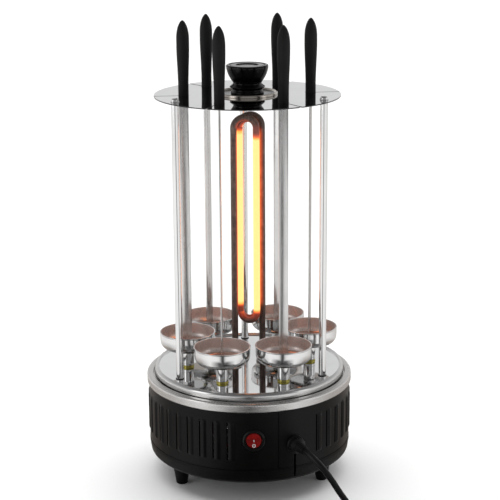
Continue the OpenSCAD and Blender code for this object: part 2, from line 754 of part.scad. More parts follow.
function unit(v) = v / norm(v);
function tangent(path, i) = unit(path[min(i + 1, len(path) - 1)] - path[max(i - 1, 0)]);

// Tube swept along a route: one polyhedron with a ring at each point and flat end caps
module swept_tube(path, r, sides) {
    last = len(path) - 1;
    rings = [for (i = [0:last])
        let (t = tangent(path, i), side = unit(cross(t, [0, 0, 1])), up = cross(side, t))
        for (j = [0:sides - 1]) let (a = 360 * (j + 0.5) / sides) path[i] + r * (cos(a) * side + sin(a) * up)];
    walls = [for (i = [0:last - 1], j = [0:sides - 1]) let (k = (j + 1) % sides)
        [i * sides + j, i * sides + k, (i + 1) * sides + k, (i + 1) * sides + j]];
    caps = [[for (j = [sides - 1:-1:0]) j], [for (j = [0:sides - 1]) last * sides + j]];
    polyhedron(points = rings, faces = concat(walls, caps));
}

module power_cord() {
    color([0.04, 0.04, 0.04]) {
        swept_tube(lead_route, cord_d / 2, 10);
        swept_tube(tail_route, cord_d / 2, 10);
    }
}

// Outer shape of the wound coil: two turns wide and two high
module cord_coil() {
    edge = 2.5;
    w = cord_d;
    h = 2 * cord_d;
    profile = concat(
        arc(coil_mid_r + w - edge, edge, edge, -90, 0, 4),
        arc(coil_mid_r + w - edge, h - edge, edge, 0, 90, 4),
        arc(coil_mid_r - w + edge, h - edge, edge, 90, 180, 4),
        arc(coil_mid_r - w + edge, edge, edge, 180, 270, 4));
    color([0.05, 0.05, 0.05]) translate(concat(coil_centre, [coil_floor])) rotate_extrude() polygon(profile);
}

// Flat tie that holds the turns together where all four passes lie side by side
module cord_tie() {
    t = 1.1;
    w = 9;
    gap = 0.2;
    inner = [2 * (cord_d + gap), 2 * (cord_d + gap)];
    at = concat(coil_centre, [coil_floor + cord_d]);
    color([0.12, 0.12, 0.12]) translate(at) rotate([0, 0, 305]) translate([coil_mid_r, 0, 0]) difference() {
        cube([inner[0] + 2 * t, w, inner[1] + 2 * t], center = true);
        cube([inner[0] + 0.6, w + 2, inner[1]], center = true);
    }
}

// Round two-pin plug lying on its side, with a tapered neck for the cord
module plug() {
    pin_r = 2.4;
    pin_len = 19;
    pin_gap = 19;
    plug_r = 18.5;
    profile = concat(
        [[cord_d / 2 + 0.1, 0], [5.2, 0], [6.6, 18], [12.5, 24], [14.5, 38], [plug_r - 1, 41]],
        arc(plug_r - 1, 42, 1, -90, 0, 4), arc(plug_r - 1, 52, 1, 0, 90, 4),
        [[0, 53], [0, 20], [cord_d / 2 + 0.1, 20]]);
    color([0.06, 0.06, 0.06]) translate([68, -275, plug_r]) rotate([0, -90, 0]) {
        rotate_extrude() polygon(profile);
        for (s = [-1, 1]) translate([0, s * pin_gap / 2, 53 - eps]) cylinder(r = pin_r, h = pin_len, $fn = 32);
    }
}

// ---------------------------------------------------------------- build

base_tray();
side_wall();
collar_band();
top_plate();
gear_chassis();
feet();
support_rods();
rod_rings();
dome_nuts();
tie_nuts();
top_disc();
knob_skirt();
knob();
heating_element();
heater_bushes();
spindle_bushes();
drive_motor();
fixing_screws();
thermal_cutout();
terminal_block();
wiring();
switch_body();
cord_gland();
power_cord();
cord_coil();
cord_tie();
plug();
central_gear();
motor_pinion();
rocker();
for (k = [0:5]) {
    spindle(k);
    spindle_gear(k);
    drip_cup(k);
    skewer_blade(k);
    skewer_handle(k);
}
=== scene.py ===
"""Looks of the upright electric kebab grill: every visible piece, its finish, the studio and the camera.

The grill's lengths are written in millimetres and turned into metres by MM; the camera, the lights,
the floor and the dark card are in metres. The front of the grill faces -Y, and each piece rides on its
CAD body.
"""
import math

import bmesh
import bpy
from mathutils import Matrix, Vector


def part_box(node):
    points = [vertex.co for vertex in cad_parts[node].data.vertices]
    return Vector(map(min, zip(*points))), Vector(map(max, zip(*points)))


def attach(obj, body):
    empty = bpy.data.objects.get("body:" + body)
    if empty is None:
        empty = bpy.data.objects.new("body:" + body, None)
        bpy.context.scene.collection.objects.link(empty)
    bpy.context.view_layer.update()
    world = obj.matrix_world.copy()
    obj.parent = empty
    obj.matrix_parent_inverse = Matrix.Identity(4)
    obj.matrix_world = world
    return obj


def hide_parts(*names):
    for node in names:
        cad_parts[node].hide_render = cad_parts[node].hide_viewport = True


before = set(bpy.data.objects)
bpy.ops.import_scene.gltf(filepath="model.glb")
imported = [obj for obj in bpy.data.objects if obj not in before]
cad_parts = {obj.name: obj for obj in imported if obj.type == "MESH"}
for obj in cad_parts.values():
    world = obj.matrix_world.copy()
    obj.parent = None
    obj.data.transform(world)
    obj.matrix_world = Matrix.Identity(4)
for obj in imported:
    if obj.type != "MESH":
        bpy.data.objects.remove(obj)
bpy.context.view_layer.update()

MM = 0.001
STATIONS = 6
BLADE_TURNS = [78, 35, 50, 4, 86, 3]
ROD_CIRCLE, ROD_ANGLES = 94.5, [93, 213, 333]
SWITCH_ANGLE, SWITCH_Z = -87.7, 79
GLAND_ANGLE, GLAND_Z = -64.4, 70
SEAM_ANGLE = -74.1
PLATE_TOP = 128.5
DISC_BOTTOM = 447.5


# ---------------------------------------------------------------- places taken from the CAD


def middle(node):
    """Middle of a CAD node's box, in metres."""
    low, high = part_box(node)
    return (low + high) / 2


def at_floor(node):
    """Point on a node's own upright axis at floor height, for pieces turned about that axis."""
    point = middle(node)
    return Vector((point.x, point.y, 0))


def low_z(node):
    """Lowest point of a CAD node, in millimetres."""
    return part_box(node)[0].z / MM


def high_z(node):
    """Highest point of a CAD node, in millimetres."""
    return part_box(node)[1].z / MM


def raised(z):
    """Matrix that lifts by so many millimetres."""
    return Matrix.Translation((0, 0, z * MM))


def polar(radius, angle, z=0.0):
    """Point at a radius and an angle in degrees round the grill's axis."""
    a = math.radians(angle)
    return Vector((radius * math.cos(a), radius * math.sin(a), z))


def wall_frame(radius, angle, z):
    """Matrix of a spot on the round wall: x runs along the wall, y up, z straight out."""
    a = math.radians(angle)
    along = Vector((-math.sin(a), math.cos(a), 0))
    out = Vector((math.cos(a), math.sin(a), 0))
    turn = Matrix((along, Vector((0, 0, 1)), out)).transposed().to_4x4()
    return Matrix.Translation(polar(radius, angle, z) * MM) @ turn


# ---------------------------------------------------------------- camera

LENS = 108.0
CAMERA_PLACE = Vector((0.0, -1.675, 0.7189))
CAMERA_PITCH = 15.104
CAMERA_YAW = 0.065
CAMERA_ROLL = -0.344


def make_camera():
    """Camera in front of the grill, looking down by the pitch and turned by the yaw and the roll."""
    data = bpy.data.cameras.new("studio_camera")
    data.lens = LENS
    data.sensor_width = 36
    data.clip_start = 0.05
    data.clip_end = 60
    camera = bpy.data.objects.new("studio_camera", data)
    bpy.context.scene.collection.objects.link(camera)
    pitch, yaw, roll = (math.radians(v) for v in (CAMERA_PITCH, CAMERA_YAW, CAMERA_ROLL))
    ahead = Vector((math.sin(yaw) * math.cos(pitch), math.cos(yaw) * math.cos(pitch), -math.sin(pitch)))
    right = Vector((math.cos(yaw), -math.sin(yaw), 0))
    up = right.cross(ahead)
    right_rolled = math.cos(roll) * right + math.sin(roll) * up
    up_rolled = -math.sin(roll) * right + math.cos(roll) * up
    turn = Matrix((right_rolled, up_rolled, -ahead)).transposed().to_4x4()
    camera.matrix_world = Matrix.Translation(CAMERA_PLACE) @ turn
    bpy.context.scene.camera = camera


# ---------------------------------------------------------------- shader helpers


def new_material(name, **sockets):
    """A Principled material; sockets are plain values such as Metallic or Roughness."""
    material = bpy.data.materials.new(name)
    material.use_nodes = True
    tree = material.node_tree
    shader = tree.nodes["Principled BSDF"]
    for key, value in sockets.items():
        shader.inputs[key.replace("_", " ")].default_value = value
    return material, tree, shader


def add(tree, kind, inputs=None, **settings):
    node = tree.nodes.new("ShaderNode" + kind)
    for key, value in settings.items():
        setattr(node, key, value)
    for key, value in (inputs or {}).items():
        if isinstance(value, bpy.types.NodeSocket):
            tree.links.new(value, node.inputs[key])
        else:
            node.inputs[key].default_value = value
    return node


def calc(tree, operation, *values):
    return add(tree, "Math", dict(enumerate(values)), operation=operation).outputs[0]


def object_coords(tree, stretch=(1, 1, 1)):
    coords = add(tree, "TexCoord").outputs["Object"]
    return add(tree, "Mapping", {"Vector": coords, "Scale": stretch}).outputs["Vector"]


def turned_coords(tree, stretch=(1, 1, 1)):
    """Coordinates of a turned piece about its own axis: angle, radius and height."""
    xyz = add(tree, "SeparateXYZ", {0: add(tree, "TexCoord").outputs["Object"]})
    x, y, z = xyz.outputs
    angle = calc(tree, "ARCTAN2", y, x)
    xx = calc(tree, "MULTIPLY", x, x)
    yy = calc(tree, "MULTIPLY_ADD", y, y, xx)
    radius = calc(tree, "SQRT", yy)
    joined = add(tree, "CombineXYZ", {0: angle, 1: radius, 2: z}).outputs[0]
    return add(tree, "Mapping", {"Vector": joined, "Scale": stretch}).outputs["Vector"]


def noise(tree, vector, scale, detail=3.0, roughness=0.55):
    values = {"Vector": vector, "Scale": scale, "Detail": detail, "Roughness": roughness}
    return add(tree, "TexNoise", values).outputs["Fac"]


def spread(tree, value, low, high, start=0.3, end=0.7):
    """Spreads a value that runs from start to end over low to high; noise mostly runs from 0.3 to 0.7."""
    values = {"Value": value, "From Min": start, "From Max": end, "To Min": low, "To Max": high}
    return add(tree, "MapRange", values).outputs["Result"]


def ramp(tree, value, stops):
    node = add(tree, "ValToRGB", {"Fac": value})
    band = node.color_ramp
    while len(band.elements) < len(stops):
        band.elements.new(0.5)
    for element, (place, colour) in zip(band.elements, stops):
        element.position = place
        element.color = (*colour, 1)
    return node.outputs["Color"]


def multiplied(tree, colour, shade):
    values = {0: 1.0, 6: colour, 7: shade}
    return add(tree, "Mix", values, data_type="RGBA", blend_type="MULTIPLY").outputs[2]


def bump(tree, height, strength, distance, below=None):
    values = {"Height": height, "Strength": strength, "Distance": distance}
    if below is not None:
        values["Normal"] = below
    return add(tree, "Bump", values).outputs["Normal"]


def wire_up(tree, shader, colour=None, roughness=None, normal=None):
    for socket, value in (("Base Color", colour), ("Roughness", roughness), ("Normal", normal)):
        if value is not None:
            tree.links.new(value, shader.inputs[socket])


def plastic(name, dark, light, rough, grain, grain_depth, specular):
    """Moulded plastic: slow colour drift, a fine spark-eroded grain and uneven gloss."""
    blotch = 9.0
    material, tree, shader = new_material(name, Specular_IOR_Level=specular)
    coords = object_coords(tree)
    slow = noise(tree, coords, blotch, 4)
    fine = noise(tree, coords, grain, 2, 0.6)
    colour = ramp(tree, slow, [(0.3, dark), (0.7, light)])
    gloss = spread(tree, noise(tree, coords, blotch * 6, 4), *rough)
    wire_up(tree, shader, colour, gloss, bump(tree, fine, 0.35, grain_depth))
    return material


def steel(name, dark, light, rough, lines, line_depth=0.0, turned=True, stretch=(0.6, 1, 1), wave=0.0,
          painted_edge_shade=False, metallic=1.0):
    """Metal with a drift of tone, fine lines round or along the piece, faint smudges, and, where asked,
    painted shade on its upright faces.
    """
    material, tree, shader = new_material(name, Metallic=metallic)
    coords = turned_coords(tree, stretch) if turned else object_coords(tree, stretch)
    slow_coords = object_coords(tree)
    line = noise(tree, coords, lines, 3, 0.6)
    slow = noise(tree, slow_coords, 14.0, 4)
    smudge = noise(tree, slow_coords, 30.0, 2, 0.5)
    colour = ramp(tree, slow, [(0.3, dark), (0.7, light)])
    # Painted shade: upright faces, such as the slot walls and the rim, are darkened nearly to black.
    if painted_edge_shade:
        facing = add(tree, "SeparateXYZ", {0: add(tree, "NewGeometry").outputs["Normal"]}).outputs[2]
        flat = calc(tree, "ABSOLUTE", facing)
        colour = multiplied(tree, colour, ramp(tree, flat, [(0.5, grey(0.06)), (0.9, grey(1.0))]))
    worn = calc(tree, "MULTIPLY", line, smudge)
    gloss = spread(tree, worn, *rough, 0.12, 0.42)
    normal = bump(tree, line, 0.3, line_depth) if line_depth else None
    if wave:
        normal = bump(tree, noise(tree, slow_coords, 11.0, 2), 0.5, wave, normal)
    wire_up(tree, shader, colour, gloss, normal)
    return material


def grey(value, glow_level=0.0):
    """Grey that leans to red by the share warm, or to blue where that is negative."""
    return (value * (1 + glow_level), value, value * (1 - glow_level))


# ---------------------------------------------------------------- finishes

# Plastics: darkest and lightest tone, range of roughness, scale and depth of the grain, gloss level.
PLASTICS = {
    "black_wall": (grey(0.0014), grey(0.0024, 0.05), (0.28, 0.4), 2600, 0.00003, 0.14),
    "black_moulding": (grey(0.0012), grey(0.0022, 0.06), (0.34, 0.48), 2200, 0.00004, 0.12),
    "bakelite": (grey(0.0014), grey(0.0026), (0.12, 0.22), 1500, 0.00001, 0.16),
    "handle_black": (grey(0.0065), grey(0.0095), (0.56, 0.66), 1900, 0.00004, 0.16),
    "switch_black": (grey(0.002), grey(0.0035), (0.26, 0.38), 2400, 0.00002, 0.22),
    "cord_black": (grey(0.0025), grey(0.005), (0.34, 0.48), 1300, 0.00003, 0.2),
    # nylon, ceramic and wire_red are kept darker than the real parts: painted shade for the inside of the
    # base, seen through the slits.
    "nylon": (grey(0.3, 0.03), grey(0.38, 0.03), (0.38, 0.5), 1200, 0.00003, 0.5),
    "ceramic": (grey(0.26, 0.06), grey(0.34, 0.04), (0.45, 0.62), 900, 0.00005, 0.4),
    "dark_ring": (grey(0.012), grey(0.022), (0.35, 0.5), 1500, 0.00003, 0.4),
    "wire_red": ((0.16, 0.006, 0.004), (0.24, 0.012, 0.008), (0.35, 0.5), 1500, 0.00003, 0.4),
    "mark_white": (grey(0.5), grey(0.58), (0.4, 0.5), 1500, 0.00002, 0.4)}

# Metals: darkest and lightest tone, range of roughness, scale of the fine lines, and what differs.
EVEN, ROUND_ONLY, ALONG_Z = (1, 1, 1), (0.004, 1, 1), (1, 1, 0.02)
METALS = {
    "brushed_steel": (grey(0.5, 0.02), grey(0.56, 0.02), (0.2, 0.32), 650,
                      dict(line_depth=0.000004, stretch=ROUND_ONLY)),
    "rim_steel": (grey(0.5, 0.006), grey(0.56, 0.006), (0.14, 0.24), 650, dict(stretch=ROUND_ONLY)),
    "mirror_steel": (grey(0.66, -0.006), grey(0.72, -0.004), (0.03, 0.07), 420, dict(wave=0.00004)),
    # The disc's slot walls and rim carry painted shade.
    "disc_steel": (grey(0.52, -0.008), grey(0.57, -0.006), (0.025, 0.06), 420, dict(painted_edge_shade=True)),
    "polished_steel": (grey(0.64, 0.004), grey(0.7, 0.004), (0.07, 0.15), 420, {}),
    "warm_steel": ((0.4, 0.365, 0.33), (0.48, 0.44, 0.4), (0.16, 0.28), 420, {}),
    # Cup inside and floor: a warm tint and, on the wall, a share of diffuse, as painted reflection of the
    # heater's glow.
    "cup_inside_painted_reflection": ((0.66, 0.58, 0.55), (0.78, 0.7, 0.67), (0.2, 0.34), 420, dict(metallic=0.6)),
    "cup_floor_painted_reflection": ((0.6, 0.4, 0.34), (0.72, 0.49, 0.42), (0.14, 0.26), 420, dict(metallic=0.8)),
    "blade_steel": (grey(0.5, 0.01), grey(0.62, 0.01), (0.16, 0.3), 1500,
                    dict(line_depth=0.00001, turned=False, stretch=ALONG_Z)),
    # galvanised is kept darker than real zinc plate: painted shade for the chassis and motor inside the
    # base.
    "galvanised": (grey(0.2), grey(0.3), (0.28, 0.46), 160,
                   dict(line_depth=0.00002, turned=False, stretch=EVEN)),
    "screw_steel": (grey(0.5), grey(0.62), (0.2, 0.34), 700,
                    dict(line_depth=0.00001, turned=False, stretch=EVEN)),
    "brass": ((0.5, 0.44, 0.13), (0.64, 0.58, 0.2), (0.14, 0.26), 900, dict(line_depth=0.000006))}

FINISH = {}


def make_finishes():
    for name, look in PLASTICS.items():
        FINISH[name] = plastic(name, *look)
    for name, (*look, special) in METALS.items():
        FINISH[name] = steel(name, *look, **special)
    FINISH["rocker_red"] = rocker_finish()
    FINISH["heater_sheath"] = heater_finish()
    FINISH["tie_cloth"] = tie_finish()


def rocker_finish():
    """Red plastic with painted shade up and down its face, lit softly from inside by its lamp."""
    material, tree, shader = new_material(
        "rocker_red", IOR=1.49, Coat_Weight=0.04, Coat_Roughness=0.12, Specular_IOR_Level=0.1,
        Emission_Strength=0.05)
    coords = object_coords(tree)
    depth = noise(tree, coords, 120.0, 3)
    red = ramp(tree, depth, [(0.3, (0.12, 0.0018, 0.0018)), (0.7, (0.2, 0.0035, 0.0035))])
    # Painted shade across the V face: darker at the top edge, along the middle line and at the bottom
    # edge.
    across = add(tree, "SeparateXYZ", {0: coords}).outputs[1]
    share = spread(tree, across, 0.0, 1.0, -0.0084, 0.0084)
    shade = ramp(tree, share, [(0.0, grey(0.55)), (0.28, grey(0.8)), (0.5, grey(0.6)), (0.7, grey(1.0)),
                               (0.86, grey(0.8)), (1.0, grey(0.3))])
    red = multiplied(tree, red, shade)
    gloss = spread(tree, noise(tree, coords, 400.0, 3), 0.22, 0.34)
    wire_up(tree, shader, red, gloss, bump(tree, noise(tree, coords, 2200.0, 2), 0.2, 0.00001))
    glow = ramp(tree, depth, [(0.3, (0.5, 0.01, 0.008)), (0.7, (0.8, 0.02, 0.015))])
    tree.links.new(glow, shader.inputs["Emission Color"])
    return material


def heater_finish():
    """Scaled brown oxide on the tube, with the glow of each stretch set by its own warmth and by the
    bars' light painted on as glow.
    """
    material, tree, shader = new_material("heater_sheath", Emission_Strength=2.4)
    coords = object_coords(tree)
    scale = noise(tree, coords, 130.0, 6, 0.65)
    streak = noise(tree, object_coords(tree, (1, 1, 0.1)), 700.0, 3)
    mixed = calc(tree, "MULTIPLY", scale, streak)
    brown = ramp(tree, mixed, [(0.12, (0.036, 0.02, 0.015)), (0.26, (0.085, 0.05, 0.038)),
                               (0.42, (0.17, 0.115, 0.09))])
    gloss = spread(tree, scale, 0.34, 0.6)
    wire_up(tree, shader, brown, gloss, bump(tree, scale, 0.4, 0.00006))
    # Emission level: the tube's own glow, and on legs and bends the bars' light painted on as glow.
    heat_and_bar_light = add(tree, "Attribute", attribute_name="glow_and_bar_light").outputs["Fac"]
    flicker = spread(tree, scale, -0.035, 0.035)
    glow_level = calc(tree, "ADD", heat_and_bar_light, flicker)
    glow = ramp(tree, glow_level, [(0.06, (0, 0, 0)), (0.2, (0.012, 0.0012, 0.0004)),
                             (0.45, (0.11, 0.008, 0.002)), (0.68, (0.34, 0.045, 0.008)),
                             (0.86, (0.8, 0.24, 0.045)), (0.97, (1.0, 0.36, 0.12))])
    tree.links.new(glow, shader.inputs["Emission Color"])
    return material


def tie_finish():
    """Woven hook-and-loop strap."""
    material, tree, shader = new_material("tie_cloth", Sheen_Weight=0.3, Roughness=0.85)
    coords = object_coords(tree)
    waves = [add(tree, "TexWave", {"Vector": coords, "Scale": 900.0}, bands_direction=axis).outputs["Fac"]
             for axis in ("X", "Z")]
    weave = calc(tree, "MULTIPLY", waves[0], waves[1])
    colour = ramp(tree, weave, [(0.0, grey(0.008)), (1.0, grey(0.03))])
    wire_up(tree, shader, colour, None, bump(tree, weave, 0.5, 0.0001))
    return material


# ---------------------------------------------------------------- mesh helpers


def finish_piece(obj, finish, body, nodes=(), sharp=32):
    """Shades, paints and mounts a piece that is in place, and hides the CAD nodes it stands for."""
    obj.data.shade_smooth()
    obj.data.set_sharp_from_angle(angle=math.radians(sharp))
    # A mesh that a modifier made can hold an empty slot.
    if not any(obj.data.materials):
        obj.data.materials.clear()
        obj.data.materials.append(FINISH[finish])
    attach(obj, body)
    if nodes:
        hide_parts(*([nodes] if isinstance(nodes, str) else nodes))
    return obj


def paint_faces(obj, finishes, chosen):
    """Several finishes on one piece; chosen(face) gives the number of the finish each face gets."""
    obj.data.materials.clear()
    for finish in finishes:
        obj.data.materials.append(FINISH[finish])
    for face in obj.data.polygons:
        face.material_index = int(chosen(face))


def to_object(bm, name, matrix=None):
    mesh = bpy.data.meshes.new(name)
    bmesh.ops.recalc_face_normals(bm, faces=bm.faces)
    bm.to_mesh(mesh)
    bm.free()
    obj = bpy.data.objects.new(name, mesh)
    bpy.context.scene.collection.objects.link(obj)
    if matrix is not None:
        obj.matrix_world = matrix
    return obj


def rounded(points, steps=5):
    """Closed outline whose corners with a third number are rounded by about that many millimetres.
    Long straight runs get a point near each end, which keeps the shading of the run flat."""
    long_run, near_end = 2.0, 0.25
    made = []
    count = len(points)
    for i, point in enumerate(points):
        here = Vector(point[:2])
        if len(point) < 3:
            made.append(here)
            continue
        before = Vector(points[i - 1][:2]) - here
        after = Vector(points[(i + 1) % count][:2]) - here
        reach = min(point[2], 0.48 * before.length, 0.48 * after.length)
        start = here + before.normalized() * reach
        end = here + after.normalized() * reach
        for s in range(steps + 1):
            t = s / steps
            made.append((1 - t) ** 2 * start + 2 * t * (1 - t) * here + t * t * end)
    held = []
    for one, two in zip(made, made[1:] + made[:1]):
        held.append(one)
        run = two - one
        if run.length > long_run:
            held += [one + run.normalized() * near_end, two - run.normalized() * near_end]
    return held


def lathe(bm, outline, segments=128, flutes=None):
    """Turns a closed outline of (radius, height) in millimetres about the z axis.
    flutes = (number, depth, lowest z, highest z) pulls the surface in between that many ridges."""
    loops = []
    for radius, z in outline:
        if radius < 1e-6:
            loops.append([bm.verts.new((0, 0, z * MM))])
            continue
        loop = []
        for j in range(segments):
            a = 2 * math.pi * j / segments
            r = radius
            if flutes and flutes[2] <= z <= flutes[3]:
                r -= flutes[1] * (0.5 - 0.5 * math.cos(flutes[0] * a)) ** 0.6
            loop.append(bm.verts.new((r * math.cos(a) * MM, r * math.sin(a) * MM, z * MM)))
        loops.append(loop)
    for one, two in zip(loops, loops[1:] + loops[:1]):
        if len(one) == 1 and len(two) == 1:
            continue
        for j in range(segments):
            k = (j + 1) % segments
            if len(one) == 1:
                bm.faces.new((one[0], two[j], two[k]))
            elif len(two) == 1:
                bm.faces.new((one[j], two[0], one[k]))
            else:
                bm.faces.new((one[j], two[j], two[k], one[k]))


def circle(radius, steps):
    """Points round a circle, as pairs of x and y."""
    angles = [2 * math.pi * j / steps for j in range(steps)]
    return [(radius * math.cos(a), radius * math.sin(a)) for a in angles]


def join_loops(bm, loops):
    """Joins closed loops of equal length, each to the next."""
    for one, two in zip(loops, loops[1:]):
        for j in range(len(one)):
            k = (j + 1) % len(one)
            bm.faces.new((one[j], one[k], two[k], two[j]))


def turned_piece(name, outline, matrix=None, segments=128, flutes=None):
    bm = bmesh.new()
    lathe(bm, outline, segments, flutes)
    return to_object(bm, name, matrix)


def smooth_path(points, steps):
    """Catmull-Rom curve through points, with so many steps between neighbours."""
    points = [Vector(p) for p in points]
    ends = [2 * points[0] - points[1]] + points + [2 * points[-1] - points[-2]]
    made = []
    for a, b, c, d in zip(ends, ends[1:], ends[2:], ends[3:]):
        for s in range(steps):
            t = s / steps
            made.append(0.5 * (2 * b + (c - a) * t + (2 * a - 5 * b + 4 * c - d) * t ** 2
                               + (3 * b - a - 3 * c + d) * t ** 3))
    return made + [points[-1]]


def sweep(bm, path, radius, sides=20, layer=None, values=None, round_ends=False):
    """Round tube along a path in millimetres; layer stores values(ring, outward) at each point."""
    path = [Vector(p) for p in path]
    radii = [radius] * len(path)
    if round_ends:
        ahead, behind = (path[0] - path[1]).normalized(), (path[-1] - path[-2]).normalized()
        cap = [(math.sin(t), math.cos(t)) for t in (math.radians(v) for v in (85, 60, 30))]
        path = ([path[0] + ahead * radius * s for s, c in cap] + path
                + [path[-1] + behind * radius * s for s, c in reversed(cap)])
        radii = [radius * c for s, c in cap] + radii + [radius * c for s, c in reversed(cap)]
    last = len(path) - 1
    rings = []
    side = None
    for i, point in enumerate(path):
        forward = (path[min(i + 1, last)] - path[max(i - 1, 0)]).normalized()
        if side is None:
            side = forward.orthogonal().normalized()
        side = (side - side.dot(forward) * forward).normalized()
        other = forward.cross(side)
        ring = []
        for x, y in circle(1, sides):
            outward = x * side + y * other
            vert = bm.verts.new((point + radii[i] * outward) * MM)
            if layer is not None:
                vert[layer] = values(i, outward)
            ring.append(vert)
        rings.append(ring)
    join_loops(bm, rings)
    bm.faces.new(rings[0])
    bm.faces.new(rings[-1])


def block(bm, low, high, matrix=None, bevel=0.0):
    """Box between two corners in millimetres, its edges bevelled if a bevel is given."""
    size = Vector(high) - Vector(low)
    centre = (Vector(low) + Vector(high)) / 2
    place = Matrix.Translation(centre * MM) @ Matrix.Diagonal((*(size * MM), 1))
    made = bmesh.ops.create_cube(bm, size=1.0, matrix=(matrix or Matrix.Identity(4)) @ place)
    if bevel:
        edges = list({e for v in made["verts"] for e in v.link_edges})
        bmesh.ops.bevel(bm, geom=edges, offset=bevel * MM, segments=3, profile=0.5, affect="EDGES")


def drill(bm, matrix, radius, depth):
    """Adds a round cutter, so long and centred on the matrix, in millimetres."""
    bmesh.ops.create_cone(bm, cap_ends=True, segments=64, radius1=radius * MM, radius2=radius * MM,
                          depth=depth * MM, matrix=matrix)


def cut(obj, cutter):
    """Takes the cutter's solid out of the piece."""
    modifier = obj.modifiers.new("cut", "BOOLEAN")
    modifier.object = cutter
    modifier.operation = "DIFFERENCE"
    modifier.solver = "MANIFOLD"
    settle(obj)
    bpy.data.objects.remove(cutter)


def settle(obj):
    """Applies the modifiers of a piece."""
    bpy.context.view_layer.update()
    graph = bpy.context.evaluated_depsgraph_get()
    mesh = bpy.data.meshes.new_from_object(obj.evaluated_get(graph))
    obj.modifiers.clear()
    obj.data = mesh


# ---------------------------------------------------------------- mains cord

CORD_R = 3.5
COIL_CENTRE = Vector((116, -230, 0))
COIL_OUTER, COIL_INNER = 42.5, 35.5
COIL_LOW, COIL_HIGH = 5.0, 12.0
COIL_TURNS = 3.25
GLAND_MOUTH = polar(110, GLAND_ANGLE, GLAND_Z)
GLAND_NOSE = polar(142, GLAND_ANGLE, GLAND_Z)
LEAD_ROUTE = [
    GLAND_MOUTH, (GLAND_MOUTH + GLAND_NOSE) / 2, GLAND_NOSE,
    (66, -136, 69.2), (71.5, -142.5, 66), (78.5, -148, 60), (85.5, -152, 52), (92, -154.5, 43),
    (98, -156.5, 33.8), (104.2, -158, 25), (110.5, -159.5, 16.8), (117.8, -161, 10), (127, -163, 5.6),
    (137.5, -167, 3.8), (147.5, -174, 3.5), (154.2, -184, 3.5), (157.6, -196, 3.5), (158.7, -208, 3.6),
    (158.8, -219, 4.2)]
TAIL_ROUTE = [
    (104, -272.6, 12.5), (94, -273.2, 13.6), (83, -274.2, 15.3), (72, -275, 17.2), (62, -275, 18.3),
    (54, -275, 18.5)]
PLUG_X, PLUG_Y = 68, -275
TIE_ANGLE, TIE_CENTRE = 305, Vector((39, 0, 8.5))


def ease(value, start, end):
    """Goes smoothly from 0 at start to 1 at end."""
    t = min(1.0, max(0.0, (value - start) / (end - start)))
    return t * t * (3 - 2 * t)


def coil_route():
    """Middle line of the wound turns: outer then inner below, inner then outer on top."""
    points = []
    steps = 20
    for i in range(int(COIL_TURNS * steps) + 1):
        turns = i / steps
        inward = ease(turns, 0.78, 1.0) - ease(turns, 2.78, 3.0)
        radius = COIL_OUTER + (COIL_INNER - COIL_OUTER) * inward
        height = COIL_LOW + (COIL_HIGH - COIL_LOW) * ease(turns, 1.78, 2.0)
        a = -2 * math.pi * turns
        points.append(COIL_CENTRE + Vector((radius * math.cos(a), radius * math.sin(a), height)))
    return points


def make_cord():
    """Mains lead with its gland, its coil and strap, and its plug."""
    route = [Vector(p) for p in LEAD_ROUTE] + coil_route() + [Vector(p) for p in TAIL_ROUTE]
    line = smooth_path(route, 3)
    bm = bmesh.new()
    sweep(bm, line, CORD_R, 20)
    cord = to_object(bm, "mains_cord")
    finish_piece(cord, "cord_black", "base", ["power_cord", "cord_coil"])
    pieces = [make_plug(), make_tie(), make_gland()]


def make_plug():
    """Moulded round plug on its side: ribbed neck, waisted body and two pins."""
    outline = rounded(
        [(3.6, 0), (5.2, 0, 0.6), (5.35, 2.6), (4.7, 3.1), (4.7, 4.1), (5.7, 4.6), (5.8, 6.8), (5.1, 7.3),
         (5.1, 8.3), (6.1, 8.8), (6.3, 11), (5.5, 11.5), (5.5, 12.5), (6.5, 13), (6.7, 18, 1.5),
         (12.4, 24, 3), (13.1, 30, 3), (14.5, 38, 2), (17.5, 41, 1.2), (18.4, 42.6, 0.8),
         (18.4, 51.6, 1.4), (16.6, 53, 0.8), (15.4, 53, 0.4), (15.2, 52.2, 0.3), (0, 52.2), (0, 20),
         (3.6, 20)])
    bm = bmesh.new()
    lathe(bm, outline, 96)
    for side in (-1, 1):
        sweep(bm, [(0, side * 9.5, z) for z in (50, 56, 62, 69.7)], 2.35, 24, round_ends=True)
    place = Matrix.Translation((PLUG_X * MM, PLUG_Y * MM, middle("plug").z))
    matrix = place @ Matrix.Rotation(math.radians(-90), 4, "Y")
    return finish_piece(to_object(bm, "plug_body", matrix), "cord_black", "base", "plug")


def make_tie():
    """Strap round the passes of the coil, as a closed band."""
    half, thick, wide, corner = 7.2, 1.0, 4.4, 3.0
    loop = rounded([(half, -half, corner), (half, half, corner), (-half, half, corner),
                    (-half, -half, corner)], 6)
    bm = bmesh.new()
    rows = []
    for grow, y in ((0, -wide), (0, wide), (thick, wide), (thick, -wide)):
        rows.append([bm.verts.new(Vector((p.x * (1 + grow / half), y, p.y * (1 + grow / half))) * MM)
                     for p in loop])
    join_loops(bm, rows + rows[:1])
    spin = Matrix.Rotation(math.radians(TIE_ANGLE), 4, "Z")
    matrix = Matrix.Translation(COIL_CENTRE * MM) @ spin @ Matrix.Translation(TIE_CENTRE * MM)
    return finish_piece(to_object(bm, "coil_tie", matrix), "tie_cloth", "base", "cord_tie")


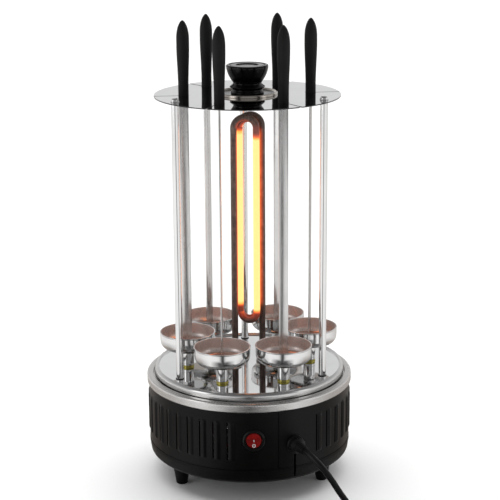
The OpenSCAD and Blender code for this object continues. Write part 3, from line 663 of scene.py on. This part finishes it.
def make_gland():
    """Flange, fluted clamp nut and ribbed tapering strain relief."""
    ribs = []
    z, radius = 11.0, 6.1
    while z < 22.5:
        ribs += [(radius, z, 0.4), (radius, z + 1.5, 0.4), (radius - 0.75, z + 1.7, 0.2),
                 (radius - 0.8, z + 2.5, 0.2)]
        z += 2.7
        radius -= 0.27
    outline = rounded(
        [(3.6, -10), (7.9, -10, 0.5), (7.9, 0), (10.4, 0), (10.4, 1.6, 0.7), (9.6, 2.4, 0.3),
         (9.6, 3.0), (9.6, 7.4, 1.6), (7.0, 9.3, 0.8), (6.3, 10.0, 0.4)] + ribs
        + [(4.85, 23.4, 0.4), (4.7, 24.4, 0.5), (3.6, 24.4)], 3)
    matrix = wall_frame(WALL_R, GLAND_ANGLE, GLAND_Z)
    gland = turned_piece("cord_relief", outline, matrix, 144, (18, 0.55, 2.9, 7.4))
    return finish_piece(gland, "cord_black", "base", "cord_gland", sharp=28)


# ---------------------------------------------------------------- base

WALL_R = 118.0
WALL_T = 2.0
HOLE_DEPTH = 14
ROCKER_AXIS_R, ROCKER_TILT = 116.8, -9
LOUVRE_FIRST, LOUVRE_PITCH, LOUVRE_COUNT = -50.0, 8.1, 39
LOUVRE_LOW, LOUVRE_HIGH = 53.8, 99.8
SLIT_LOW, SLIT_HIGH = 55.0, 98.6
SLIT_HALF = 0.42
SLIT_TIPS = {SLIT_LOW: SLIT_LOW - 0.6, SLIT_HIGH: SLIT_HIGH + 0.6}
LOUVRE_SHAPE = [
    (-3.5, 0), (-2.4, 0), (-1.3, 0), (-SLIT_HALF, 0), (0, 0), (SLIT_HALF, 0), (0.8, 0.14), (1.1, 0.52),
    (1.5, 0.99), (2.0, 1.32), (2.5, 1.4), (3.0, 1.2), (3.4, 0.78), (3.8, 0.28), (4.15, 0)]
LOUVRE_END = 4.0
PLAIN_STEP = 1.05
SEAM_EDGE, SEAM_HALF, SEAM_DEPTH = 0.34, 0.2, 1.0
SWITCH_HOLE_R, GLAND_HOLE_R = 10.1, 8.1
WALL_ROWS = [43, 43.5, 47, 50.5, 53, LOUVRE_LOW, 54.3, SLIT_LOW, 55.8, 56.8, 58, 60, 65, 71, 77, 83, 89,
             93.6, 95.6, 96.8, 97.8, SLIT_HIGH, 99.3, LOUVRE_HIGH, 101, 105, 109, 114, 119, 119.5]


def wall_columns():
    """Angle, louvre offset, hump height and groove depth of each upright line of the wall."""
    columns = []
    for k in range(LOUVRE_COUNT):
        for offset, hump in LOUVRE_SHAPE:
            columns.append((LOUVRE_FIRST + LOUVRE_PITCH * k + offset, offset, hump, 0.0))
    angle = columns[-1][0] + PLAIN_STEP
    stop = LOUVRE_FIRST + 360 + LOUVRE_SHAPE[0][0] - 0.6
    seam = SEAM_ANGLE + 360
    plain = []
    while angle < stop:
        if abs(angle - seam) > 0.5:
            plain.append((angle, None, 0.0, 0.0))
        angle += PLAIN_STEP
    for side in (-1, 1):
        plain.append((seam + side * SEAM_EDGE, None, 0.0, 0.0))
        plain.append((seam + side * SEAM_HALF, None, 0.0, SEAM_DEPTH))
    return columns + sorted(plain, key=lambda c: c[0])


def make_side_wall():
    """Sheet wall with pressed louvres, their slits, the seam and the holes for switch and gland."""
    bm = bmesh.new()
    columns = wall_columns()
    grid = []
    for z in WALL_ROWS:
        near = min(z - LOUVRE_LOW, LOUVRE_HIGH - z)
        swell = 0.0 if near <= 0 else math.sqrt(1 - (1 - min(near, LOUVRE_END) / LOUVRE_END) ** 2)
        ring = []
        for angle, offset, hump, groove in columns:
            height = z
            if offset == 0 and z in SLIT_TIPS:
                height = SLIT_TIPS[z]
            ring.append(bm.verts.new(polar(WALL_R + hump * swell - groove, angle, height) * MM))
        grid.append(ring)
    count = len(columns)
    for i in range(len(grid) - 1):
        inside = SLIT_LOW <= WALL_ROWS[i] and WALL_ROWS[i + 1] <= SLIT_HIGH
        for j in range(count):
            k = (j + 1) % count
            if inside and columns[j][1] in (-SLIT_HALF, 0):
                continue
            bm.faces.new((grid[i][j], grid[i][k], grid[i + 1][k], grid[i + 1][j]))
    wall = to_object(bm, "louvred_wall")
    shell = wall.modifiers.new("shell", "SOLIDIFY")
    shell.thickness = WALL_T * MM
    shell.offset = -1
    settle(wall)
    cutter = bmesh.new()
    gland_place = wall_frame(WALL_R, GLAND_ANGLE, GLAND_Z)
    drill(cutter, wall_frame(WALL_R, SWITCH_ANGLE, SWITCH_Z), SWITCH_HOLE_R, HOLE_DEPTH)
    drill(cutter, gland_place, GLAND_HOLE_R, HOLE_DEPTH)
    # The slot runs from the gland's hole down through the wall's lower edge.
    block(cutter, (-1.2, -30, -8), (1.2, -7.5, 6), gland_place)
    cut(wall, to_object(cutter, "wall_cutter"))
    finish_piece(wall, "black_wall", "base", "side_wall", sharp=38)


def make_collar():
    """Rolled steel band, its flat top and the ledge under the plate."""
    outline = rounded(
        [(118.5, 112), (119.4, 112, 0.3), (120, 112.6, 0.4), (120, 122, 2.6), (112.6, 122, 0.5),
         (112.6, 118.5, 0.3), (105, 118.5), (105, 117), (114.1, 117), (114.1, 120.5),
         (118.5, 120.5, 1.4)], 8)
    collar = turned_piece("collar_ring", outline, segments=288)
    finish_piece(collar, "brushed_steel", "base", "collar_band")


def make_plate():
    """Mirror plate with its raised, rolled rim and the holes for bushes, rods and heater."""
    rim_start, bush_hole, rod_hole, leg_hole = 105.7, 7.3, 3.2, 6.0
    outline = rounded(
        [(0, 127.3), (106.2, 127.3), (107.4, 128, 0.5), (109.8, 128.4, 1.6), (109.8, 118.5), (111, 118.5),
         (111, 129.2, 2.8), (106.8, 131.2, 1.6), (105.6, 128.6, 0.9), (0, PLATE_TOP)], 7)
    plate = turned_piece("mirror_plate", outline, segments=288)
    cutter = bmesh.new()
    holes = [(at_floor(f"drip_cup_{k + 1}"), bush_hole) for k in range(STATIONS)]
    holes += [(polar(ROD_CIRCLE, a) * MM, rod_hole) for a in ROD_ANGLES]
    holes += [(Vector((LEG_X * s, LOOP_Y * s, 0)) * MM, leg_hole) for s in (-1, 1)]
    for place, radius in holes:
        drill(cutter, Matrix.Translation(place + Vector((0, 0, 128 * MM))), radius, 12)
    cut(plate, to_object(cutter, "plate_cutter"))
    paint_faces(plate, ("mirror_steel", "rim_steel"), lambda face: from_axis(face) > rim_start)
    finish_piece(plate, "mirror_steel", "base", "top_plate")


def make_switch():
    """Round bezel with a deep well, and the red rocker in it with plain on and off marks."""
    matrix = wall_frame(WALL_R, SWITCH_ANGLE, SWITCH_Z)
    outline = rounded(
        [(9.3, -8), (9.3, 2.2, 0.5), (11.4, 2.2, 0.6), (12.6, 0.9, 0.5), (12.6, 0, 0.2), (9.9, 0),
         (9.9, -23.5, 0.6), (0, -23.5), (0, -8)], 5)
    bm = bmesh.new()
    lathe(bm, outline, 96)
    for side in (-4, 4):
        block(bm, (-2.4, side - 0.4, -30), (2.4, side + 0.4, -23), bevel=0.15)
    finish_piece(to_object(bm, "switch_bezel", matrix), "switch_black", "base", "switch_body")

    axis = wall_frame(ROCKER_AXIS_R, SWITCH_ANGLE, SWITCH_Z)
    tilt = axis @ Matrix.Rotation(math.radians(ROCKER_TILT), 4, "X")
    make_rocker(tilt)
    make_rocker_marks(tilt)


def make_rocker(matrix):
    """Round button with a shallow V face, a rounded edge and its two pivots."""
    bm = bmesh.new()
    steps, back = 72, -3.9
    profile = [(0, 0), (1.6, 0), (3.2, 0), (4.8, 0), (6.4, 0), (7.5, 0), (8.0, 0.1), (8.25, 0.32),
               (8.35, 0.7)]
    loops = []
    for radius, drop in profile:
        loops.append([bm.verts.new(Vector((x, y, rocker_face(y) - drop)) * MM)
                      for x, y in circle(radius, steps if radius else 1)])
    loops.append([bm.verts.new((v.co.x, v.co.y, back * MM)) for v in loops[-1]])
    for j in range(steps):
        bm.faces.new((loops[0][0], loops[1][j], loops[1][(j + 1) % steps]))
    join_loops(bm, loops[1:])
    bm.faces.new(loops[-1])
    sweep(bm, [(x, 0, 0) for x in (-9.2, -8, 8, 9.2)], 1.15, 24)
    finish_piece(to_object(bm, "rocker_button", matrix), "rocker_red", "rocker", "rocker")


def rocker_face(y):
    """Height of the rocker's shallow V face."""
    return 3.25 + 0.105 * math.sqrt(y * y + 0.5)


def make_rocker_marks(matrix):
    """Plain bar for on and ring for off, standing a little out of the rocker's face."""
    bm = bmesh.new()
    height = rocker_face(0)
    block(bm, (-0.45, -1.5, height - 0.3), (0.45, 0.9, height + 0.3), bevel=0.06)
    ring_y, outer, inner, steps = -5.75, 2.0, 1.1, 40
    loops = []
    for radius, lift in ((outer, -0.3), (outer, 0.12), (inner, 0.12), (inner, -0.3)):
        points = [(x, y + ring_y) for x, y in circle(radius, steps)]
        loops.append([bm.verts.new(Vector((x, y, rocker_face(y) + lift)) * MM) for x, y in points])
    join_loops(bm, loops + loops[:1])
    finish_piece(to_object(bm, "rocker_marks", matrix), "mark_white", "rocker")


# ---------------------------------------------------------------- frame, knob and heater


def make_rods():
    """Support rods, each with its thin ring on the plate and its domed nut on the disc."""
    low, high = low_z("support_rods"), high_z("support_rods")
    rod = rounded(
        [(0, low), (3, low, 0.5), (3, PLATE_TOP), (4.2, PLATE_TOP, 0.2), (4.2, DISC_BOTTOM, 0.2),
         (2, DISC_BOTTOM), (2, high, 0.3), (0, high)], 3)
    ring = rounded(
        [(4.22, PLATE_TOP), (4.9, PLATE_TOP, 0.2), (4.9, 129.1, 0.3), (4.6, 129.6, 0.2),
         (4.22, 129.6)], 4)
    nut = rounded(
        [(2, 0), (5.0, 0, 0.25), (5.0, 0.9, 0.35), (4.4, 1.2), (4.3, 2.4, 1.4), (3.3, 4.1, 1.4), (0, 4.6),
         (0, 2.8), (2, 2.8)], 5)
    nut_lift = raised(low_z("dome_nuts"))
    places = [Matrix.Translation(polar(ROD_CIRCLE, angle) * MM) for angle in ROD_ANGLES]
    for k, place in enumerate(places):
        bar = turned_piece(f"support_rod_{k + 1}", rod, place, 64)
        finish_piece(bar, "polished_steel", "base", "support_rods")
    for k, place in enumerate(places):
        seat = turned_piece(f"rod_seat_{k + 1}", ring, place, 64)
        finish_piece(seat, "dark_ring", "base", "rod_rings")
        cap = turned_piece(f"cap_nut_{k + 1}", nut, place @ nut_lift, 64)
        finish_piece(cap, "polished_steel", "base", "dome_nuts")


def make_knob():
    """Waisted knob with a dished, ringed top, on its steel skirt, whose middle is black."""
    base = low_z("knob_skirt")
    skirt = rounded(
        [(3, 0), (33.8, 0, 0.1), (34, 0.3), (34, 2.2, 0.8), (33.2, 3.2, 0.6), (32.2, 3.0, 0.6),
         (30.4, 1.2, 1.6), (28, 1.0, 1), (3, 1.0)], 6)
    place = raised(base)
    dish = turned_piece("knob_dish", skirt, place, 192)
    black_to = 30.6
    paint_faces(dish, ("warm_steel", "bakelite"),
                lambda face: face.normal.z > 0.5 and from_axis(face) < black_to)
    finish_piece(dish, "warm_steel", "base", "knob_skirt")
    body = rounded(
        [(0, 0), (18.5, 0, 0.4), (18.8, 1.6, 1), (16.4, 5.2, 1.6), (19.8, 7.3, 0.4), (20, 8.0, 0.3),
         (16.1, 11.2, 0.8), (16.1, 12.4, 0.8), (18.0, 15.2, 2), (20.0, 18.6, 3), (21.6, 21.8, 3),
         (22.8, 25.2, 3), (23.6, 28.8, 2), (23.8, 31.4, 1.0), (22.9, 32.4, 0.6), (20.8, 32.4, 0.3),
         (20.3, 31.5, 0.3), (19.4, 31.5, 0.3), (18.9, 32.1, 0.3), (13.0, 32.1, 0.3), (12.4, 31.1, 0.3),
         (0, 31.1)], 5)
    place = raised(base + 1)
    bm = bmesh.new()
    lathe(bm, body, 160)
    lathe(bm, rounded([(0, -7.2), (3, -7.2, 0.4), (3, 0.2), (0, 0.2)], 3), 48)
    finish_piece(to_object(bm, "lid_knob", place), "bakelite", "base", "knob", sharp=40)


LEG_X, BAR_X, LOOP_Y = 16.0, 9.5, 9.0
ARCH_Z, BEND_Z, LEG_END_Z = 411.0, 194.0, 104.0
TUBE_R = 3.75
GLOW_LOW, GLOW_HIGH = 200.0, 406.0
GLOW_SHIFT = {BAR_X: -5.0, -BAR_X: 2.0}
# Warmth of the tube away from the glowing bars, and how strongly the bars' light is painted as glow on
# what faces them.
BAR_END_WARMTH, LEG_WARMTH, LOW_BEND_WARMTH = 0.3, 0.1, 0.08
LEG_LIT, ARCH_LIT, LOW_BEND_LIT = 0.58, 0.5, 0.26


def half_loop(start, end, z, up, steps=26):
    """Half circle in the upright plane through two feet, with the feet left out."""
    start, end = Vector((*start, z)), Vector((*end, z))
    centre, radius = (start + end) / 2, (end - start).length / 2
    along = (start - end).normalized()
    return [centre + radius * (math.cos(t) * along + up * math.sin(t) * Vector((0, 0, 1)))
            for t in (math.pi * i / steps for i in range(1, steps))]


def make_heater():
    """One tube bent into two legs and four glowing bars; its own glow, and the bars' light painted as
    glow on legs and bends, is stored along it.
    """
    feet = [(-LEG_X, -LOOP_Y), (BAR_X, -LOOP_Y), (-BAR_X, 0), (BAR_X, 0), (-BAR_X, LOOP_Y),
            (LEG_X, LOOP_Y)]
    path, heat_and_bar_light = [], []
    for i, foot in enumerate(feet):
        leg = i in (0, 5)
        low = LEG_END_Z if leg else BEND_Z
        count = 60 if leg else 48
        run = [low + (ARCH_Z - low) * s / count for s in range(count + 1)]
        if i % 2:
            run.reverse()
        for z in run:
            path.append(Vector((*foot, z)))
            shift = 0.0 if leg else GLOW_SHIFT[foot[0]]
            inside = ease(z - shift, GLOW_LOW - 8, GLOW_LOW + 4)
            inside *= 1 - ease(z - shift, GLOW_HIGH - 5, GLOW_HIGH + 10)
            towards = Vector((-foot[0], -foot[1], 0)).normalized()
            # Legs and bends get the bars' light painted on as glow, on the side that faces the bars.
            if leg:
                heat_and_bar_light.append((LEG_WARMTH * inside, LEG_LIT * inside, towards))
            else:
                heat_and_bar_light.append((max(inside, BAR_END_WARMTH), 0.0, towards))
        if i < 5:
            up = 1 if i % 2 == 0 else -1
            bend = half_loop(foot, feet[i + 1], ARCH_Z if up > 0 else BEND_Z, up)
            for step, point in enumerate(bend):
                share = step / (len(bend) - 1)
                path.append(point)
                if i == 0:
                    glow_level = max(0.0, (share - 0.7) / 0.3)
                elif i == 4:
                    glow_level = max(0.0, 1 - share / 0.3)
                else:
                    glow_level = abs(2 * share - 1) ** 1.5
                towards = ((bend[0] + bend[-1]) / 2 - point).normalized()
                own = BAR_END_WARMTH * glow_level
                if up > 0:
                    heat_and_bar_light.append((own, ARCH_LIT * (1 - ease(share, 0.4, 1.0)), towards))
                else:
                    heat_and_bar_light.append((own + LOW_BEND_WARMTH, LOW_BEND_LIT, towards))

    def glow_and_bar_light(ring, outward):
        """Own glow of the tube, and on the legs and bends also the light of the bars beside them, painted
        on as glow.
        """
        own, lit, towards = heat_and_bar_light[ring]
        return own + lit * max(0.0, outward.dot(towards) + 0.2) / 1.2

    bm = bmesh.new()
    layer = bm.verts.layers.float.new("glow_and_bar_light")
    sweep(bm, path, TUBE_R, 28, layer, glow_and_bar_light)
    for foot in (feet[0], feet[5]):
        sweep(bm, [(*foot, z) for z in (92, 98, 105)], 1.5, 20, layer, lambda ring, outward: 0.0)
    finish_piece(to_object(bm, "bent_heater_tube"), "heater_sheath", "base", "heating_element")


# ---------------------------------------------------------------- spits

HANDLE_LEN = 83.5
HANDLE_D = 14.4


def handle_radius(s):
    """Slim below, full near the top, with a bullet tip; s runs from 0 to 1 up the handle."""
    full = HANDLE_D / 2
    slim = full - 1.35
    body = slim + (full - slim) * ease(s, 0.12, 0.67)
    nose = max(0.0, (s - 0.74) / 0.26)
    return body * (1 - min(1.0, nose) ** 2.2) ** 0.62


def make_spits():
    """At each station the drip cup, the turning stem, its bush, the skewer's blade and its handle."""
    cup = rounded(
        [(6.25, 0), (21, 0, 4), (27.6, 1.9, 5), (31.4, 6.6, 5), (32.0, 12, 3), (31.95, 19.5, 0.5),
         (32.4, 19.9, 0.35), (32.4, 20.7, 0.35), (31.8, 21, 0.3), (31.1, 20.8, 0.3), (31.0, 12, 3),
         (30.5, 7.2, 4), (27, 2.9, 5), (21, 1.0, 4), (6.25, 1.0)], 6)
    stem = rounded(
        [(0, 86.5), (3, 86.5, 0.5), (3, 97), (4.5, 97, 0.3), (4.5, 131.3), (7, 131.3, 0.35), (7, 133.6),
         (6.7, 133.8), (6.7, 134.2), (7, 134.4), (7, 150.3, 0.5), (6.2, 151), (6.2, 154, 0.4),
         (0, 154)], 3)
    bush = rounded(
        [(4.55, 123.3), (10, 123.3, 0.3), (10, 127.3), (7.2, 127.3), (6.2, PLATE_TOP), (6.2, 128.8),
         (7.0, 129.0, 0.2), (7.0, 129.7, 0.2), (6.1, 129.9), (6.1, 130.3), (7.0, 130.5, 0.2),
         (7.0, 131.1, 0.2), (4.55, 131.2)], 4)
    grip_rows = 40
    neck = handle_radius(0)
    grip = [(0, -1.5), (neck - 0.3, -1.5), (neck, -1.2), (neck, 0)]
    grip += [(handle_radius(i / grip_rows), HANDLE_LEN * i / grip_rows) for i in range(1, grip_rows)]
    grip += [(handle_radius(0.993), HANDLE_LEN * 0.993), (0, HANDLE_LEN)]

    for k in range(STATIONS):
        label = str(k + 1)
        spin = Matrix.Rotation(math.radians(BLADE_TURNS[k]), 4, "Z")
        axis = Matrix.Translation(at_floor("drip_cup_" + label))
        turned = axis @ spin
        cup_place = axis @ raised(low_z("drip_cup_" + label))
        grip_place = turned @ raised(low_z("skewer_handle_" + label))
        spindle, skewer = "spindle_" + label, "skewer_" + label
        dish = turned_piece("cup_" + label, cup, cup_place, 144)
        # The inner wall and floor of the cup get finishes with painted warm reflection.
        paint_faces(dish, ("polished_steel", "cup_inside_painted_reflection", "cup_floor_painted_reflection"), cup_zone)
        finish_piece(dish, "polished_steel", spindle, "drip_cup_" + label)
        finish_piece(make_stem("stem_" + label, stem, turned), "polished_steel", spindle, spindle)
        blade = make_blade("blade_" + label, turned, "skewer_blade_" + label)
        finish_piece(blade, "blade_steel", skewer, "skewer_blade_" + label)
        handle = turned_piece("grip_" + label, grip, grip_place, 80)
        finish_piece(handle, "handle_black", skewer, "skewer_handle_" + label, sharp=50)
        collar = turned_piece("bush_" + label, bush, axis, 96)
        finish_piece(collar, "brass", "base", "spindle_bushes")


def cup_zone(face):
    """Outside 0, inner wall 1, inner floor 2; the inner wall and floor carry painted warm reflection."""
    outward = face.normal.x * face.center.x + face.normal.y * face.center.y
    if face.normal.z > 0.3 and face.center.z < 5 * MM:
        return 2
    return 1 if outward < 0 else 0


def from_axis(face):
    """Distance of a face from the axis of its turned piece, in millimetres."""
    return math.hypot(face.center.x, face.center.y) / MM


def make_stem(name, outline, matrix):
    """Spindle with the flat socket for the skewer's blade."""
    stem = turned_piece(name, outline, matrix, 96)
    cutter = bmesh.new()
    block(cutter, (-5.45, -0.95, 138), (5.45, 0.95, 156), matrix)
    cut(stem, to_object(cutter, "stem_cutter"))
    return stem


def make_blade(name, matrix, node):
    """Flat skewer with ground edges, a point below and the tang that the handle hides."""
    low, high = low_z(node), high_z(node)
    half, thick, tang, shoulder, point = 5.25, 1.5, 3.0, 449.3, 12.0
    outline = [(0, low), (half, low + point), (half, shoulder), (tang, shoulder), (tang, high),
               (-tang, high), (-tang, shoulder), (-half, shoulder), (-half, low + point)]
    bm = bmesh.new()
    front = [bm.verts.new(Vector((x, -thick / 2, z)) * MM) for x, z in outline]
    face = bm.faces.new(front)
    made = bmesh.ops.extrude_face_region(bm, geom=[face])
    moved = [g for g in made["geom"] if isinstance(g, bmesh.types.BMVert)]
    bmesh.ops.translate(bm, verts=moved, vec=(0, thick * MM, 0))
    bmesh.ops.bevel(bm, geom=list(bm.edges), offset=0.3 * MM, segments=2, profile=0.5, affect="EDGES")
    return to_object(bm, name, matrix)


# ---------------------------------------------------------------- CAD nodes that stay

KEPT = {
    "base_tray": "black_moulding", "feet": "black_moulding", "gear_chassis": "galvanised",
    "tie_nuts": "screw_steel", "top_disc": "disc_steel", "heater_bushes": "ceramic",
    "drive_motor": "galvanised", "fixing_screws": "screw_steel", "thermal_cutout": "screw_steel",
    "terminal_block": "ceramic", "wiring": "wire_red", "central_gear": "nylon", "motor_pinion": "brass"}


def paint_kept_nodes():
    """Gives a finish to each CAD node that shows as it is."""
    gears = {f"spindle_gear_{k + 1}": "nylon" for k in range(STATIONS)}
    for name, finish in {**KEPT, **gears}.items():
        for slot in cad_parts[name].material_slots:
            slot.material = FINISH[finish]


# ---------------------------------------------------------------- studio


def light(name, kind, energy, place, aim, **settings):
    data = bpy.data.lights.new(name, kind)
    data.energy = energy
    for key, value in settings.items():
        setattr(data, key, value)
    lamp = bpy.data.objects.new(name, data)
    bpy.context.scene.collection.objects.link(lamp)
    lamp.location = place
    lamp.rotation_mode = "QUATERNION"
    lamp.rotation_quaternion = (Vector(aim) - Vector(place)).to_track_quat("-Z", "Y")
    return lamp


def make_studio():
    """Pale paper floor, soft sky, one wide overhead light and two boxes in front."""
    floor_material, tree, shader = new_material("floor_paper", Specular_IOR_Level=0.0, Roughness=0.9)
    mottled = noise(tree, object_coords(tree), 3.0, 2)
    wire_up(tree, shader, ramp(tree, mottled, [(0.3, grey(0.9)), (0.7, grey(0.905))]))
    bm = bmesh.new()
    half = 14.0
    corners = ((-half, -half), (half, -half), (half, half), (-half, half))
    bm.faces.new([bm.verts.new((x, y, 0)) for x, y in corners])
    floor = to_object(bm, "studio_floor")
    floor.data.materials.append(floor_material)

    world = bpy.data.worlds.new("studio_air")
    bpy.context.scene.world = world
    world.use_nodes = True
    tree = world.node_tree
    xyz = add(tree, "SeparateXYZ", {0: add(tree, "TexCoord").outputs["Generated"]})
    sky = ramp(tree, xyz.outputs[2], [(0.0, grey(0.9)), (0.34, grey(0.86)), (0.55, grey(0.6)),
                                      (0.75, grey(0.34)), (1.0, grey(0.3))])
    behind = spread(tree, xyz.outputs[1], 0.42, 1.0, -0.6, 0.25)
    background = tree.nodes["Background"]
    tree.links.new(sky, background.inputs["Color"])
    tree.links.new(behind, background.inputs["Strength"])

    sun = light("overhead", "SUN", 3.05, (0, 0, 1), (0, -0.47, 0), angle=math.radians(90))
    sun.visible_glossy = False
    aim = (0, 0, 0.25)
    light("left_box", "AREA", 4.5, (-1.5, -0.9, 0.75), aim, shape="RECTANGLE", size=0.7, size_y=1.3)
    light("right_box", "AREA", 2.0, (1.6, -0.7, 0.8), aim, shape="RECTANGLE", size=0.5, size_y=1.3)
    make_flags()
    bpy.context.scene.view_settings.view_transform = "Standard"


def make_flags():
    """Dark card on the floor that only reflections see, with a cover for each direction: the gap between
    the two boxes in front, brownish flags to both sides behind, a skirt close to the sides and an apron
    close in front. Directions are in degrees, to the right of the front."""
    dark = [(-180, 0.75), (-152, 0.66), (-130, 0.08), (-48, 0.0), (-22, 0.02), (-13, 0.16), (-7, 0.62),
            (-3.5, 0.94), (2.5, 0.94), (6, 0.5), (12, 0.1), (22, 0.0), (85, 0.1), (130, 0.42),
            (165, 0.7), (180, 0.75)]
    brown, black = (0.26, 0.2, 0.15), grey(0.01)
    tints = [(-180, brown), (-100, brown), (-50, black), (50, black), (100, brown), (180, brown)]
    flags, tree, _ = new_material("dark_flags")
    coords = add(tree, "TexCoord").outputs["Object"]
    xyz = add(tree, "SeparateXYZ", {0: coords})
    front = calc(tree, "MULTIPLY", xyz.outputs[1], -1.0)
    turn = calc(tree, "ARCTAN2", xyz.outputs[0], front)
    share = spread(tree, turn, 0.0, 1.0, -math.pi, math.pi)
    sector = ramp(tree, share, [(a / 360 + 0.5, grey(v)) for a, v in dark])
    reach = add(tree, "VectorMath", {0: coords}, operation="LENGTH").outputs["Value"]
    aside = calc(tree, "ABSOLUTE", turn)
    near = spread(tree, reach, 0.8, 0.0, 0.3, 0.6)
    beside = spread(tree, aside, 0.0, 1.0, 0.8, 1.5)
    skirt = calc(tree, "MULTIPLY", near, beside)
    close = spread(tree, reach, 0.9, 0.0, 0.42, 0.56)
    ahead = spread(tree, aside, 1.0, 0.0, 0.25, 0.75)
    apron = calc(tree, "MULTIPLY", close, ahead)
    cover = calc(tree, "MAXIMUM", sector, skirt)
    cover = calc(tree, "MAXIMUM", cover, apron)
    tint = ramp(tree, share, [(a / 360 + 0.5, c) for a, c in tints])
    glow = add(tree, "Emission", {"Color": tint}).outputs[0]
    mixed = add(tree, "MixShader", {0: cover, 1: add(tree, "BsdfTransparent").outputs[0], 2: glow})
    tree.links.new(mixed.outputs[0], tree.nodes["Material Output"].inputs["Surface"])
    bm = bmesh.new()
    inner, outer, above_floor, steps = 0.135, 6.0, 0.0015, 96
    rings = [[bm.verts.new((x, y, above_floor)) for x, y in circle(r, steps)] for r in (inner, outer)]
    join_loops(bm, rings)
    made = to_object(bm, "dark_flags")
    made.data.materials.append(flags)
    made.visible_camera = False
    made.visible_diffuse = False
    made.visible_shadow = False
    made.visible_transmission = False


# ---------------------------------------------------------------- build

make_camera()
make_finishes()
make_cord()
make_side_wall()
make_collar()
make_plate()
make_switch()
make_rods()
make_knob()
make_heater()
make_spits()
paint_kept_nodes()
make_studio()
